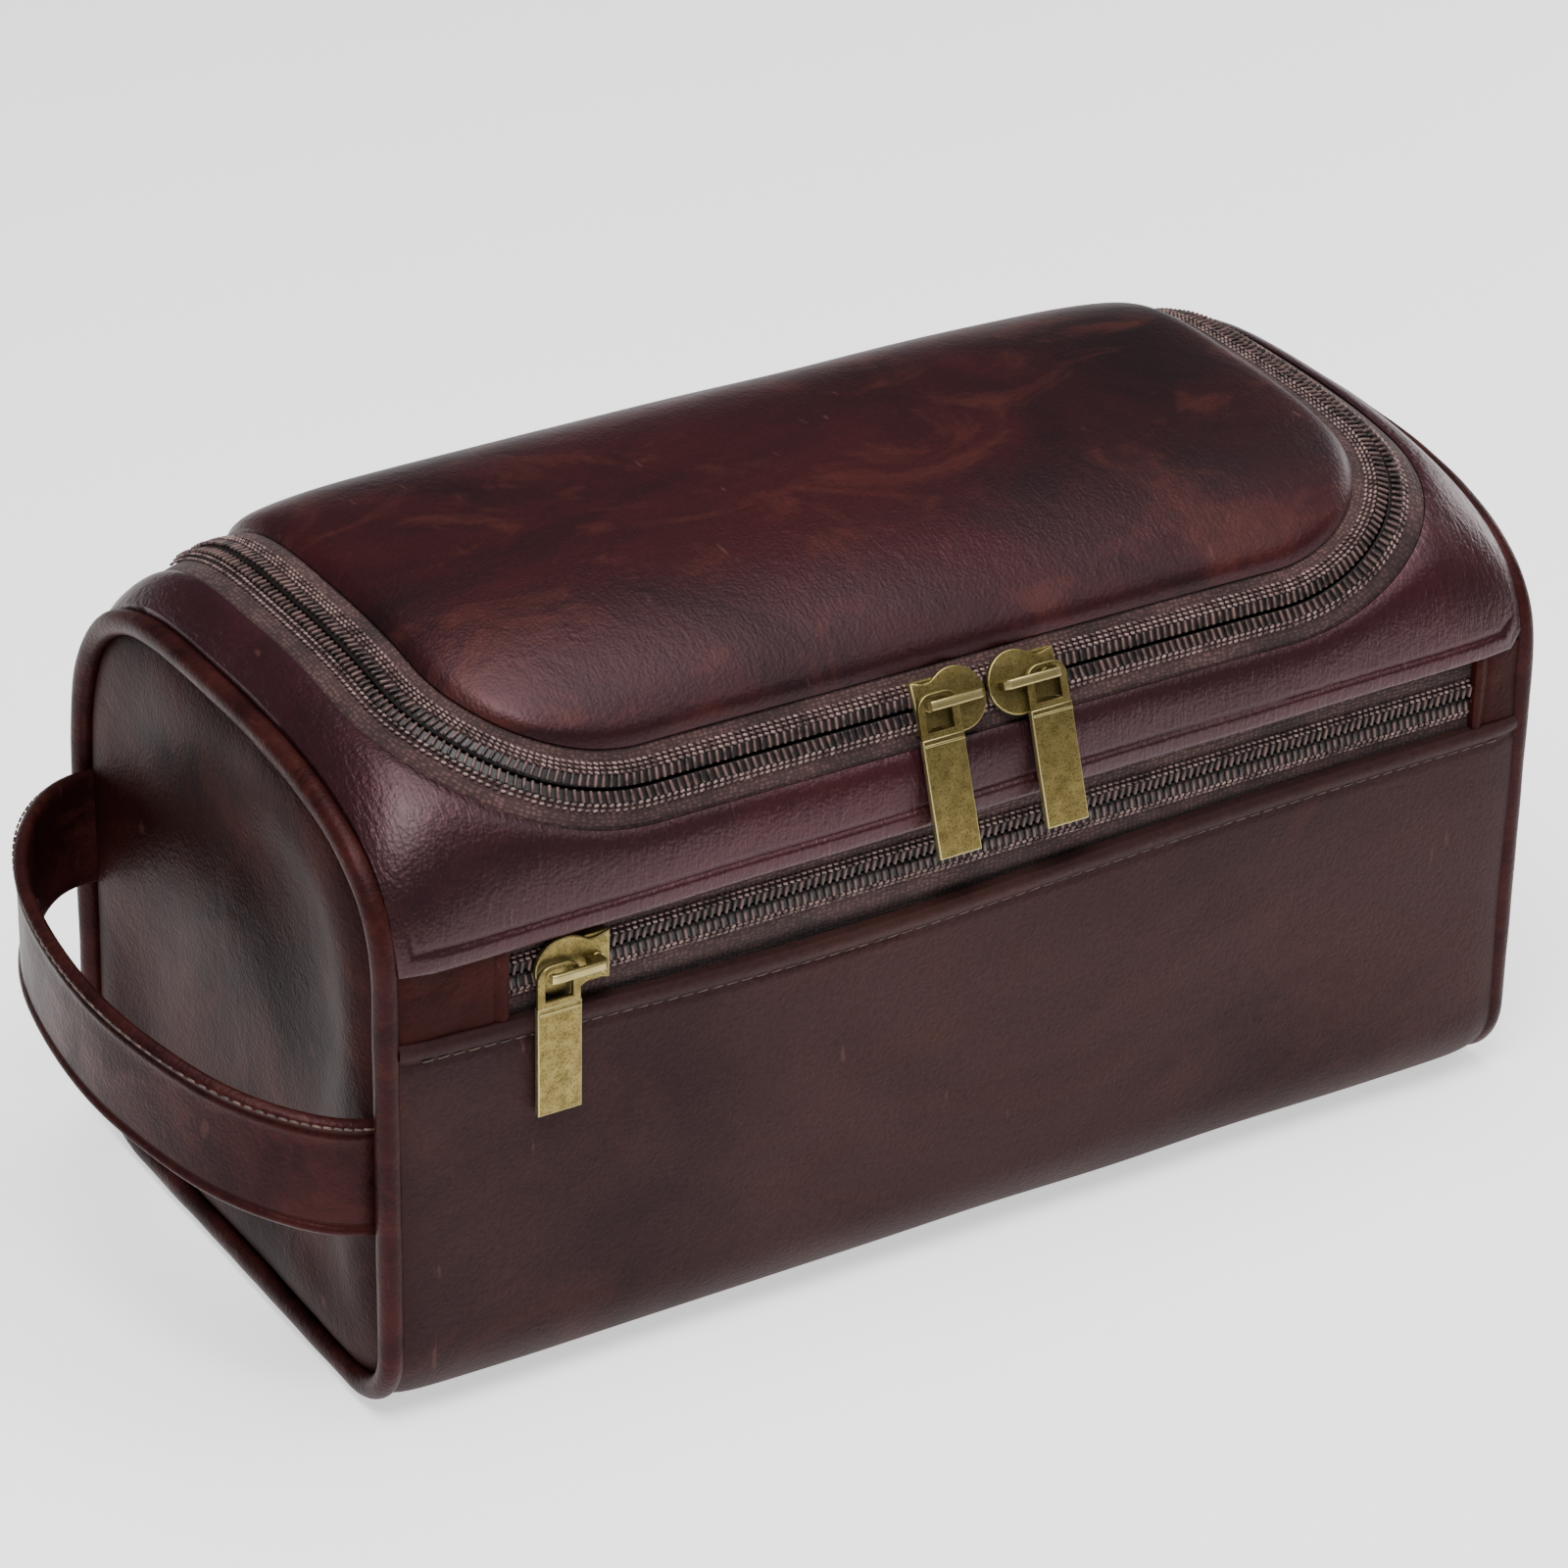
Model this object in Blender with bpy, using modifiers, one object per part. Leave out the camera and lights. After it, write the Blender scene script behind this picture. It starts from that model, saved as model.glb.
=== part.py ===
"""Shaving kit bag: a loaf-shaped leather wash bag with a U-shaped zip round its lid and a zipped front pocket.

Frame: +Z up, the bag stands on its base panel at Z = 0, +X runs along its length and -Y is its front.
The origin is the middle of the base panel's outer face. All sizes are in metres.
"""

import functools
import math

import bmesh
import bpy
import numpy as np
from mathutils import Matrix, Vector

MM = 0.001

# Driving sizes of the body
LENGTH = 260 * MM  # over both pipings
DEPTH = 132 * MM
END_HEIGHT = 128 * MM  # of the two end outlines
CROWN = 15 * MM  # how much higher the middle stands than the ends
CROWN_POWER = 8  # flatness of the crown's middle
RIDGE_Y = 8 * MM  # where the section is highest
FRONT_SPRING = 91 * MM  # height at which the front starts to curve back
BACK_SPRING = 72 * MM
ARCH_POWER = 2.9  # fullness of the shoulders
FRONT_FILLET = 16 * MM
BACK_FILLET = 26 * MM

# Layers, each measured inwards from the outer face, with a gap between neighbours
GAP = 0.3 * MM
LEATHER = 1.6 * MM
LID_LEATHER = 1.3 * MM
TAPE_IN, TAPE = LEATHER + 0.5 * MM, 0.6 * MM
COIL_IN, COIL = 0.3 * MM, 1.3 * MM
POCKET_RECESS = 0.7 * MM  # the pocket's zip lies this much deeper than the lid's
POUCH_IN, POUCH_BACK_IN, POUCH = 3.7 * MM, 4.8 * MM, 0.3 * MM
FRONT_BOARD_IN, FRONT_BOARD = 5.4 * MM, 0.9 * MM
FOAM_IN, FOAM = LEATHER + 0.6 * MM, 3.2 * MM
LINING_IN, LINING = 6.6 * MM, 0.5 * MM
SLIP_IN, SLIP = 8.0 * MM, 0.5 * MM
LID_FOAM_IN, LID_FOAM, LID_LINING_IN = 3.0 * MM, 1.6 * MM, 5.2 * MM

PIPING_R = 2.5 * MM
PIPING_X = LENGTH / 2 - PIPING_R
WRAP_X = LENGTH / 2 - 2 * PIPING_R - GAP  # end of the panels that wrap round the bag
END_PANEL_X = 125.5 * MM  # outer face of the end panels
LINING_X = 122.2 * MM

# The U-shaped zip, laid out flat on the skin: x, and the distance s from the ridge towards the front
CHAIN_X = 110 * MM
CHAIN_FRONT_Z = 120.5 * MM  # height of the chain's front run at mid length
CHAIN_CORNER = 40 * MM
CHAIN_GAP = 0.6 * MM  # half the gap between the two coils
COIL_EDGE = 4.0 * MM  # outer edge of each coil, from the chain's middle
TAPE_EDGE = 13 * MM
LEATHER_EDGE = 7.6 * MM  # leather edge beside the zip, from the chain's middle
HINGE_Y = 52 * MM  # fold line of the lid, near the top of the back

# The front pocket's zip
HEM_Z = 98.8 * MM  # lower edge of the upper panel
POCKET_Z = 82.7 * MM  # top edge of the pocket panel
POCKET_LEFT_X, POCKET_RIGHT_X = -103.5 * MM, 114.5 * MM  # inner edges of the two end tabs
BASE_FRONT_Y, BASE_BACK_Y = -44.5 * MM, 36 * MM  # seams of the base panel

# Sliders and pulls
SLIDER_LENGTH = 15.5 * MM
LEFT_SLIDER_X, RIGHT_SLIDER_X, POCKET_SLIDER_X = -7.0 * MM, 9.3 * MM, -90.5 * MM
BAR_N = 4.5 * MM  # height of the bridge bar's middle above the chain
PULL_X = 3.9 * MM  # from the slider's middle to its pull's middle, towards the bar's free end
TOP_PULL_TILT = 10.0  # degrees that a top pull leans in from the slider's plane

# Handle on the left end
HANDLE_WIDTH = 25 * MM
HANDLE_Z = 60 * MM  # mean height of the ends' middles
HANDLE_RISE = 7.5 * MM  # the back end stands this much above the mean
HANDLE_LIFT = 4.5 * MM  # the free part of the strap arches up by this much
HANDLE_X = -126 * MM  # line of its two sewn ends
HANDLE_BOW = 34.5 * MM
HANDLE_HALF_SPAN = 59.2 * MM
HANDLE_THICK = 2.6 * MM
HANDLE_EAR_R = 14.5 * MM  # the sewn ears reach this far from the line of the ends

COLOURS = {
    "leather": (0.075, 0.030, 0.026, 1.0),
    "end_leather": (0.060, 0.034, 0.030, 1.0),
    "piping_leather": (0.055, 0.026, 0.023, 1.0),
    "tape": (0.100, 0.062, 0.050, 1.0),
    "coil": (0.190, 0.140, 0.110, 1.0),
    "brass": (0.330, 0.270, 0.110, 1.0),
    "lining": (0.030, 0.026, 0.025, 1.0),
    "foam": (0.450, 0.440, 0.420, 1.0),
}
ROUGHNESS = {"leather": 0.38, "end_leather": 0.45, "piping_leather": 0.4, "brass": 0.42}


def clear_scene():
    for obj in list(bpy.data.objects):
        bpy.data.objects.remove(obj)


def new_collection(name):
    found = bpy.data.collections.new(name)
    bpy.context.scene.collection.children.link(found)
    return found


def material(kind):
    found = bpy.data.materials.get(kind)
    if found:
        return found
    made = bpy.data.materials.new(kind)
    made.use_nodes = True
    shader = made.node_tree.nodes["Principled BSDF"]
    shader.inputs["Base Color"].default_value = COLOURS[kind]
    shader.inputs["Roughness"].default_value = ROUGHNESS.get(kind, 0.8)
    shader.inputs["Metallic"].default_value = 1.0 if kind == "brass" else 0.0
    made.diffuse_color = COLOURS[kind]
    return made


# The body's outer shape


def height_at(x):
    """Height of the section's ridge at x: highest in the middle, falling to the end outlines."""
    return END_HEIGHT + CROWN * (1 - min(1.0, abs(x) / PIPING_X) ** CROWN_POWER)


def quarter(centre, radius_y, radius_z, start, stop, power, count):
    """A quarter of a superellipse as (y, z) points, between two angles in degrees."""
    angles = np.radians(np.linspace(start, stop, count))
    cosine, sine = np.cos(angles), np.sin(angles)
    y = centre[0] + radius_y * np.sign(cosine) * np.abs(cosine) ** (2 / power)
    z = centre[1] + radius_z * np.sign(sine) * np.abs(sine) ** (2 / power)
    return np.column_stack([y, z])


@functools.lru_cache(maxsize=None)
def section(x):
    """The outline at x as (points, running length, outward normals), from the ridge down the front and round."""
    top, half = height_at(x), DEPTH / 2
    front = quarter((RIDGE_Y, FRONT_SPRING), half + RIDGE_Y, top - FRONT_SPRING, 90, 180, ARCH_POWER, 60)
    back = quarter((RIDGE_Y, BACK_SPRING), half - RIDGE_Y, top - BACK_SPRING, 0, 90, ARCH_POWER, 60)
    front_foot = quarter((FRONT_FILLET - half, FRONT_FILLET), FRONT_FILLET, FRONT_FILLET, 180, 270, 2, 16)
    back_foot = quarter((half - BACK_FILLET, BACK_FILLET), BACK_FILLET, BACK_FILLET, 270, 360, 2, 16)
    points = np.vstack([front, front_foot, back_foot, back])
    apart = np.linalg.norm(np.diff(points, axis=0), axis=1)
    points = points[np.concatenate([[True], apart > 1e-6])]
    run = np.concatenate([[0], np.cumsum(np.linalg.norm(np.diff(points, axis=0), axis=1))])
    even = np.linspace(0, run[-1], 361)
    points = np.column_stack([np.interp(even, run, points[:, 0]), np.interp(even, run, points[:, 1])])
    slope = np.gradient(points, axis=0)
    slope[0] = slope[-1] = (-1, 0)
    normals = np.column_stack([slope[:, 1], -slope[:, 0]])
    normals /= np.linalg.norm(normals, axis=1)[:, None]
    return points, even, normals


def skin(x, s, inset=0.0):
    """The point at length x and at distance s from the ridge (forwards, or backwards if negative), sunk by inset."""
    points, run, normals = section(round(x, 6))
    s = s % run[-1]
    at = [np.interp(s, run, points[:, i]) for i in (0, 1)]
    out = [np.interp(s, run, normals[:, i]) for i in (0, 1)]
    size = math.hypot(*out)
    return Vector((x, at[0] - inset * out[0] / size, at[1] - inset * out[1] / size))


def skin_length(x):
    return section(round(x, 6))[1][-1]


def s_front(x, z):
    """Distance from the ridge to height z on the front."""
    points, run, _ = section(round(x, 6))
    last = int(np.argmin(points[:, 1]))
    return float(np.interp(-z, -points[:last, 1], run[:last]))


def s_base(x, y):
    """Distance from the ridge, by way of the front, to the line y on the flat base."""
    points, run, _ = section(round(x, 6))
    low = points[:, 1] < 1e-5
    return float(np.interp(y, points[low, 0], run[low]))


def s_back(x, y):
    """Distance backwards from the ridge to the line y on the top of the back, as a negative number."""
    points, run, _ = section(round(x, 6))
    behind = (points[:, 0] > RIDGE_Y + 1e-6) & (points[:, 1] > BACK_SPRING)
    return float(np.interp(-y, -points[behind, 0], run[behind]) - run[-1])


CHAIN_FRONT_S = s_front(0, CHAIN_FRONT_Z)


def zip_path(turn, offset, back_y):
    """Where the U-shaped zip runs, as (x, s). turn goes 0 to 3: left side, front, right side; offset is outwards."""
    side, front, corner = CHAIN_X + offset, CHAIN_FRONT_S + offset, CHAIN_CORNER + offset
    side_end, front_end = front - corner, side - corner
    back = s_back(side, back_y)
    sign, t = (-1, turn) if turn <= 1.5 else (1, 3 - turn)
    if t < 1:
        return sign * side, back + (side_end - back) * t
    if t < 1.3:
        angle = (t - 1) / 0.3 * math.pi / 2
        return sign * (front_end + corner * math.cos(angle)), side_end + corner * math.sin(angle)
    return sign * front_end * (1 - (t - 1.3) / 0.2), front


def zip_turns(sides, corners, front):
    """Values of turn along the U: this many steps on each side run, each corner and the front run."""
    left = [i / sides for i in range(sides)] + [1 + 0.3 * i / corners for i in range(corners)]
    middle = [1.3 + 0.4 * i / front for i in range(front + 1)]
    return left + middle + [3 - t for t in reversed(left)]


# Making objects


def finish(obj, kind, collection, smooth=True):
    for old in list(obj.users_collection):
        old.objects.unlink(obj)
    collection.objects.link(obj)
    obj.data.materials.clear()
    obj.data.materials.append(material(kind))
    if smooth and obj.type == "MESH":
        obj.data.shade_smooth()
        obj.data.set_sharp_from_angle(angle=math.radians(35))
    return obj


def sheet(name, kind, collection, places, thick):
    """A shell over a grid: places[i][j] are points of its outer face, and Solidify adds the thickness inwards."""
    rows, columns = len(places), len(places[0])
    mesh = bpy.data.meshes.new(name)
    grid = bmesh.new()
    bmesh.ops.create_grid(grid, x_segments=rows - 1, y_segments=columns - 1, size=0.5)
    for vert in grid.verts:
        i = round((vert.co.x + 0.5) * (rows - 1))
        j = round((vert.co.y + 0.5) * (columns - 1))
        vert.co = places[i][j]
    grid.to_mesh(mesh)
    grid.free()
    obj = bpy.data.objects.new(name, mesh)
    bpy.context.scene.collection.objects.link(obj)
    solid = obj.modifiers.new("Thickness", "SOLIDIFY")
    solid.thickness = thick
    solid.offset = -1
    solid.use_even_offset = True
    return finish(obj, kind, collection)


def facing(places, outwards):
    """The grid of points with its faces turned to the side that outwards (a direction) points to."""
    a, b, c = places[0][0], places[1][0], places[0][1]
    if (b - a).cross(c - a).dot(outwards) < 0:
        return places[::-1]
    return places


def wrap(name, kind, collection, limits, inset, thick, half_x=WRAP_X, steps=(14, 10), low_x=None):
    """A panel wrapped round the bag between two distances from the ridge, given by limits(x)."""
    low = -half_x if low_x is None else low_x
    places = []
    for x in np.linspace(low, half_x, steps[0] + 1):
        start, stop = limits(float(x))
        places.append([skin(float(x), float(s), inset) for s in np.linspace(start, stop, steps[1] + 1)])
    out = places[0][0] - skin(low, limits(low)[0], inset + MM)
    return sheet(name, kind, collection, facing(places, out), thick)


def zip_band(name, kind, collection, near, far, inset, thick, back_y=HINGE_Y, steps=(9, 9, 8)):
    """A band along the U-shaped zip between two offsets from the chain's middle."""
    places = []
    for turn in zip_turns(*steps):
        ends = [zip_path(turn, offset, back_y) for offset in (near, (near + far) / 2, far)]
        places.append([skin(x, s, inset) for x, s in ends])
    out = places[0][0] - skin(*zip_path(0, near, back_y), inset + MM)
    return sheet(name, kind, collection, facing(places, out), thick)


def as_mesh(obj):
    """The object as an evaluated mesh, welded, standing where the old one stood."""
    bpy.context.view_layer.update()
    evaluated = obj.evaluated_get(bpy.context.evaluated_depsgraph_get())
    mesh = bpy.data.meshes.new_from_object(evaluated)
    work = bmesh.new()
    work.from_mesh(mesh)
    bmesh.ops.remove_doubles(work, verts=work.verts, dist=1e-6)
    bmesh.ops.recalc_face_normals(work, faces=work.faces)
    work.to_mesh(mesh)
    work.free()
    made = bpy.data.objects.new(obj.name, mesh)
    made.matrix_world = obj.matrix_world.copy()
    name = obj.name
    bpy.data.objects.remove(obj)
    made.name = name
    bpy.context.scene.collection.objects.link(made)
    return made


def outline(name, points, thick, holes=()):
    """A flat plate in the local XY plane, centred on Z = 0, from its outline and the outlines of its holes."""
    curve = bpy.data.curves.new(name, "CURVE")
    curve.dimensions = "2D"
    curve.fill_mode = "BOTH"
    curve.extrude = thick / 2
    for ring in (points, *holes):
        spline = curve.splines.new("POLY")
        spline.points.add(len(ring) - 1)
        for spot, (x, y) in zip(spline.points, ring):
            spot.co = (x, y, 0, 1)
        spline.use_cyclic_u = True
    obj = bpy.data.objects.new(name, curve)
    bpy.context.scene.collection.objects.link(obj)
    return as_mesh(obj)


def arc(centre, radius, start, stop, count):
    """Points on an arc between two angles in degrees."""
    angles = np.radians(np.linspace(start, stop, count))
    return [(centre[0] + radius * math.cos(a), centre[1] + radius * math.sin(a)) for a in angles]


def block(name, size, centre):
    """A box of this size about this centre, with its size in the mesh."""
    bpy.ops.mesh.primitive_cube_add(size=1, location=centre)
    obj = bpy.context.object
    obj.name = name
    obj.data.transform(Matrix.Diagonal((*size, 1)))
    return obj


def combine(obj, other, operation, keep_other=False):
    """Applies a Boolean of other to obj, and removes other unless it is still needed."""
    modifier = obj.modifiers.new("Boolean", "BOOLEAN")
    modifier.operation = operation
    modifier.object = other
    made = as_mesh(obj)
    if not keep_other:
        bpy.data.objects.remove(other)
    return made


def placed(obj, matrix):
    obj.matrix_world = matrix
    return obj


# The body


def zip_edge(x, offset):
    """The s of the U's edge at x, for the lid inside it: the front run, rounded off into the side runs."""
    side, front, corner = CHAIN_X + offset, CHAIN_FRONT_S + offset, CHAIN_CORNER + offset
    past = max(0.0, abs(x) - (side - corner))
    return front - corner + math.sqrt(max(0.0, corner**2 - past**2))


def lid_sheet(name, kind, collection, offset, back_y, inset, thick, steps=(16, 16)):
    """A sheet over the lid, inside the U's edge at this offset and in front of back_y."""
    side = CHAIN_X + offset
    places = []
    for x in [side * math.sin(a) for a in np.linspace(-math.pi / 2, math.pi / 2, steps[0] + 1)]:
        limits = np.linspace(s_back(x, back_y), zip_edge(x, offset), steps[1] + 1)
        places.append([skin(x, float(s), inset) for s in limits])
    return sheet(name, kind, collection, facing(places, Vector((0, 0, 1))), thick)


def yoke_sheet(name, kind, collection, offset, inset, thick, half_x, hem_z, steps=(8, 10, 8)):
    """The sheet between the U's outer edge and the bag's ends and hem."""
    corner_x, corner_s = CHAIN_X - CHAIN_CORNER, CHAIN_FRONT_S - CHAIN_CORNER
    sharp = math.atan2(s_front(half_x, hem_z) - corner_s, half_x - corner_x)
    half = steps[1] // 2
    turns = zip_turns(*steps)
    places = []
    for index, turn in enumerate(turns):
        x, s = zip_path(turn, offset, HINGE_Y + MM)
        sign, step = (-1, index) if index <= len(turns) // 2 else (1, len(turns) - 1 - index)
        if step <= steps[0]:
            outer = (sign * half_x, s if step else s_back(half_x, HINGE_Y + MM))
        elif step < steps[0] + steps[1]:
            k = step - steps[0]
            angle = sharp * k / half if k <= half else sharp + (math.pi / 2 - sharp) * (k - half) / (steps[1] - half)
            if k <= half:
                outer = (sign * half_x, corner_s + (half_x - corner_x) * math.tan(angle))
            else:
                reach = (s_front(half_x, hem_z) - corner_s) / math.tan(angle)
                outer_x = sign * (corner_x + reach)
                outer = (outer_x, s_front(outer_x, hem_z))
        else:
            outer = (x, s_front(x, hem_z))
        rows = [0, 0.33, 0.67, 1]
        places.append([skin(x + (outer[0] - x) * w, s + (outer[1] - s) * w, inset) for w in rows])
    out = places[0][0] - skin(*zip_path(0, offset, HINGE_Y + MM), inset + MM)
    return sheet(name, kind, collection, facing(places, out), thick)


def end_plate(name, kind, collection, x, inset, thick):
    """A flat end wall whose outline is the end section sunk by inset; x is its outer face."""
    total = skin_length(PIPING_X)
    points = [skin(PIPING_X, s, inset) for s in np.linspace(0, total, 56, endpoint=False)]
    plate = outline(name, [(p.y, p.z) for p in points], thick)
    upright = Matrix(((0, 0, 1, 0), (1, 0, 0, 0), (0, 1, 0, 0), (0, 0, 0, 1)))
    centre_x = x - math.copysign(thick / 2, x)
    placed(plate, Matrix.Translation((centre_x, 0, 0)) @ upright)
    return finish(plate, kind, collection)


def piping(name, collection, x):
    """A leather-wrapped cord round the end outline."""
    total = skin_length(PIPING_X)
    curve = bpy.data.curves.new(name, "CURVE")
    curve.dimensions = "3D"
    curve.bevel_depth = PIPING_R
    curve.bevel_resolution = 2
    points = [skin(PIPING_X, s, PIPING_R) for s in np.linspace(0, total, 60, endpoint=False)]
    spline = curve.splines.new("POLY")
    spline.points.add(len(points) - 1)
    for spot, p in zip(spline.points, points):
        spot.co = (x, p.y, p.z, 1)
    spline.use_cyclic_u = True
    obj = bpy.data.objects.new(name, curve)
    bpy.context.scene.collection.objects.link(obj)
    return finish(as_mesh(obj), "piping_leather", collection)


def bead(name, kind, collection, low_x, high_x, z, inset, radius):
    """A folded leather edge along the front at height z: a thin rounded strip."""
    curve = bpy.data.curves.new(name, "CURVE")
    curve.dimensions = "3D"
    curve.bevel_depth = radius
    curve.bevel_resolution = 1
    curve.use_fill_caps = True
    spline = curve.splines.new("POLY")
    stations = np.linspace(low_x, high_x, 9)
    spline.points.add(len(stations) - 1)
    for spot, x in zip(spline.points, stations):
        spot.co = (*skin(float(x), s_front(float(x), z), inset), 1)
    obj = bpy.data.objects.new(name, curve)
    bpy.context.scene.collection.objects.link(obj)
    return finish(as_mesh(obj), kind, collection)


def make_outer_panels(bag):
    seam = GAP / 2
    wrap("base_panel", "leather", bag, lambda x: (s_base(x, BASE_FRONT_Y + seam), s_base(x, BASE_BACK_Y - seam)),
         0, LEATHER, steps=(2, 2))
    wrap("front_pocket_panel", "leather", bag,
         lambda x: (s_front(x, POCKET_Z - 1.4 * MM), s_base(x, BASE_FRONT_Y - seam)), 0, LEATHER, steps=(4, 14))
    wrap("back_panel", "leather", bag,
         lambda x: (s_base(x, BASE_BACK_Y + seam), skin_length(x) + s_back(x, HINGE_Y + 2 * MM)),
         0, LEATHER, steps=(14, 20))
    yoke_sheet("yoke_panel", "leather", bag, LEATHER_EDGE, 0, LEATHER, WRAP_X, HEM_Z + 1.4 * MM)
    lid_sheet("lid_panel", "leather", bag, -LEATHER_EDGE, HINGE_Y - MM, 0, LID_LEATHER)
    for side, sign in (("left", -1), ("right", 1)):
        end_plate(f"{side}_end_panel", "end_leather", bag, sign * END_PANEL_X, 2 * PIPING_R + GAP, LEATHER)
        piping(f"{side}_piping", bag, sign * PIPING_X)


def make_pocket_front(bag):
    bead("pocket_edge_binding", "leather", bag, -WRAP_X, WRAP_X, POCKET_Z, 0.9 * MM, 1.0 * MM)
    bead("yoke_hem", "leather", bag, -WRAP_X, WRAP_X, HEM_Z, 0.9 * MM, 1.0 * MM)
    low, high, middle = POCKET_Z + 1.4 * MM, HEM_Z - 1.4 * MM, (POCKET_Z + HEM_Z) / 2
    for name, start, stop in (
        ("pocket_end_tab_left", -WRAP_X, POCKET_LEFT_X),
        ("pocket_end_tab_right", POCKET_RIGHT_X, WRAP_X),
    ):
        wrap(name, "leather", bag, lambda x: (s_front(x, high), s_front(x, low)), 0.5 * MM, 1.1 * MM,
             half_x=stop, low_x=start, steps=(3, 3))
    for name, start, stop in (
        ("pocket_tape_upper", middle + CHAIN_GAP, HEM_Z + 3 * MM),
        ("pocket_tape_lower", POCKET_Z - 3 * MM, middle - CHAIN_GAP),
    ):
        wrap(name, "tape", bag, lambda x, a=start, b=stop: (s_front(x, b), s_front(x, a)),
             TAPE_IN + POCKET_RECESS, TAPE, half_x=118 * MM, steps=(10, 3))
    for name, start, stop in (
        ("pocket_coil_upper", middle + CHAIN_GAP, middle + COIL_EDGE),
        ("pocket_coil_lower", middle - COIL_EDGE, middle - CHAIN_GAP),
    ):
        wrap(name, "coil", bag, lambda x, a=start, b=stop: (s_front(x, b), s_front(x, a)),
             COIL_IN + POCKET_RECESS, COIL, half_x=POCKET_RIGHT_X - GAP, low_x=POCKET_LEFT_X + GAP, steps=(10, 1))


def make_pocket_lining(bag):
    """The pocket's bag: a sheet hung from the zip, down behind the panel, round and up again."""
    front_top, back_top, foot = POCKET_Z - MM, HEM_Z - 2 * MM, 14 * MM
    places = []
    for x in np.linspace(-116 * MM, 116 * MM, 5):
        x = float(x)
        outer = [skin(x, s, POUCH_IN) for s in np.linspace(s_front(x, front_top), s_front(x, foot), 9)]
        inner = [skin(x, s, POUCH_BACK_IN) for s in np.linspace(s_front(x, foot), s_front(x, back_top), 9)]
        turn = skin(x, s_front(x, foot - 0.6 * MM), (POUCH_IN + POUCH_BACK_IN) / 2)
        places.append([*outer, turn, *inner])
    sheet("pocket_lining", "lining", bag, facing(places, Vector((0, -1, 0))), POUCH)


def make_walls(bag):
    """Boards, foam and lining between the leather and the inside."""
    wrap("front_board", "foam", bag, lambda x: (s_front(x, HEM_Z - 1 * MM), s_front(x, 18 * MM)),
         FRONT_BOARD_IN, FRONT_BOARD, half_x=LINING_X, steps=(4, 8))
    wrap("base_board", "foam", bag, lambda x: (s_base(x, BASE_FRONT_Y), s_base(x, BASE_BACK_Y - 3 * MM)),
         FOAM_IN, FOAM, half_x=LINING_X, steps=(2, 2))
    wrap("back_foam", "foam", bag,
         lambda x: (s_base(x, BASE_BACK_Y), skin_length(x) + s_back(x, HINGE_Y + 9 * MM)),
         FOAM_IN, FOAM, half_x=LINING_X, steps=(10, 20))
    lid_sheet("lid_foam", "foam", bag, -TAPE_EDGE - MM, HINGE_Y - 8 * MM, LID_FOAM_IN, LID_FOAM,
              steps=(14, 12))
    wrap("body_lining", "lining", bag,
         lambda x: (s_front(x, HEM_Z + 2 * MM), skin_length(x) + s_back(x, HINGE_Y + 2 * MM)),
         LINING_IN, LINING, half_x=LINING_X, steps=(10, 34))
    yoke_sheet("yoke_lining", "lining", bag, CHAIN_GAP + 3 * MM, 3.4 * MM, LINING, LINING_X, HEM_Z + 4 * MM)
    lid_sheet("lid_lining", "lining", bag, -CHAIN_GAP - 3 * MM, HINGE_Y - 4 * MM, LID_LINING_IN, LINING,
              steps=(14, 14))
    for side, sign in (("left", -1), ("right", 1)):
        end_plate(f"{side}_end_lining", "lining", bag, sign * 123.6 * MM, LINING_IN + 1.2 * MM, 0.8 * MM)
    wrap("slip_pocket", "lining", bag,
         lambda x: (s_base(x, 36 * MM), skin_length(x) + s_back(x, 63 * MM)),
         SLIP_IN, SLIP, half_x=92 * MM, steps=(8, 8))


def make_zip(bag):
    """Tapes and coils of the U-shaped zip. The coils are plain strips, with a slot between them for the sliders."""
    zip_band("body_tape", "tape", bag, CHAIN_GAP, TAPE_EDGE - 2 * MM, TAPE_IN, TAPE)
    zip_band("lid_tape", "tape", bag, -TAPE_EDGE, -CHAIN_GAP, TAPE_IN, TAPE, back_y=HINGE_Y - MM)
    zip_band("body_coil", "coil", bag, CHAIN_GAP, COIL_EDGE, COIL_IN, COIL, back_y=HINGE_Y - 2 * MM)
    zip_band("lid_coil", "coil", bag, -COIL_EDGE, -CHAIN_GAP, COIL_IN, COIL, back_y=HINGE_Y - 2 * MM)


def make_hinge_strip(bag):
    """A webbing strip that carries the fold between the back and the lid."""
    wrap("hinge_strip", "tape", bag,
         lambda x: (skin_length(x) + s_back(x, HINGE_Y + 8 * MM), skin_length(x) + s_back(x, HINGE_Y - 2 * MM)),
         TAPE_IN + 0.9 * MM, 0.6 * MM, half_x=96 * MM, steps=(10, 3))


# Sliders and pulls


def slider_plate_points():
    """A slider's plate from above: a square tail and a round head, pinched in between."""
    tail, head = SLIDER_LENGTH / 2, SLIDER_LENGTH / 2 - 5.9 * MM
    upper = arc((head, 0), 5.9 * MM, 0, 128, 9) + [(-4.4 * MM, 4.2 * MM), (-tail, 4.7 * MM)]
    return upper + [(x, -y) for x, y in reversed(upper[1:])]


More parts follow.
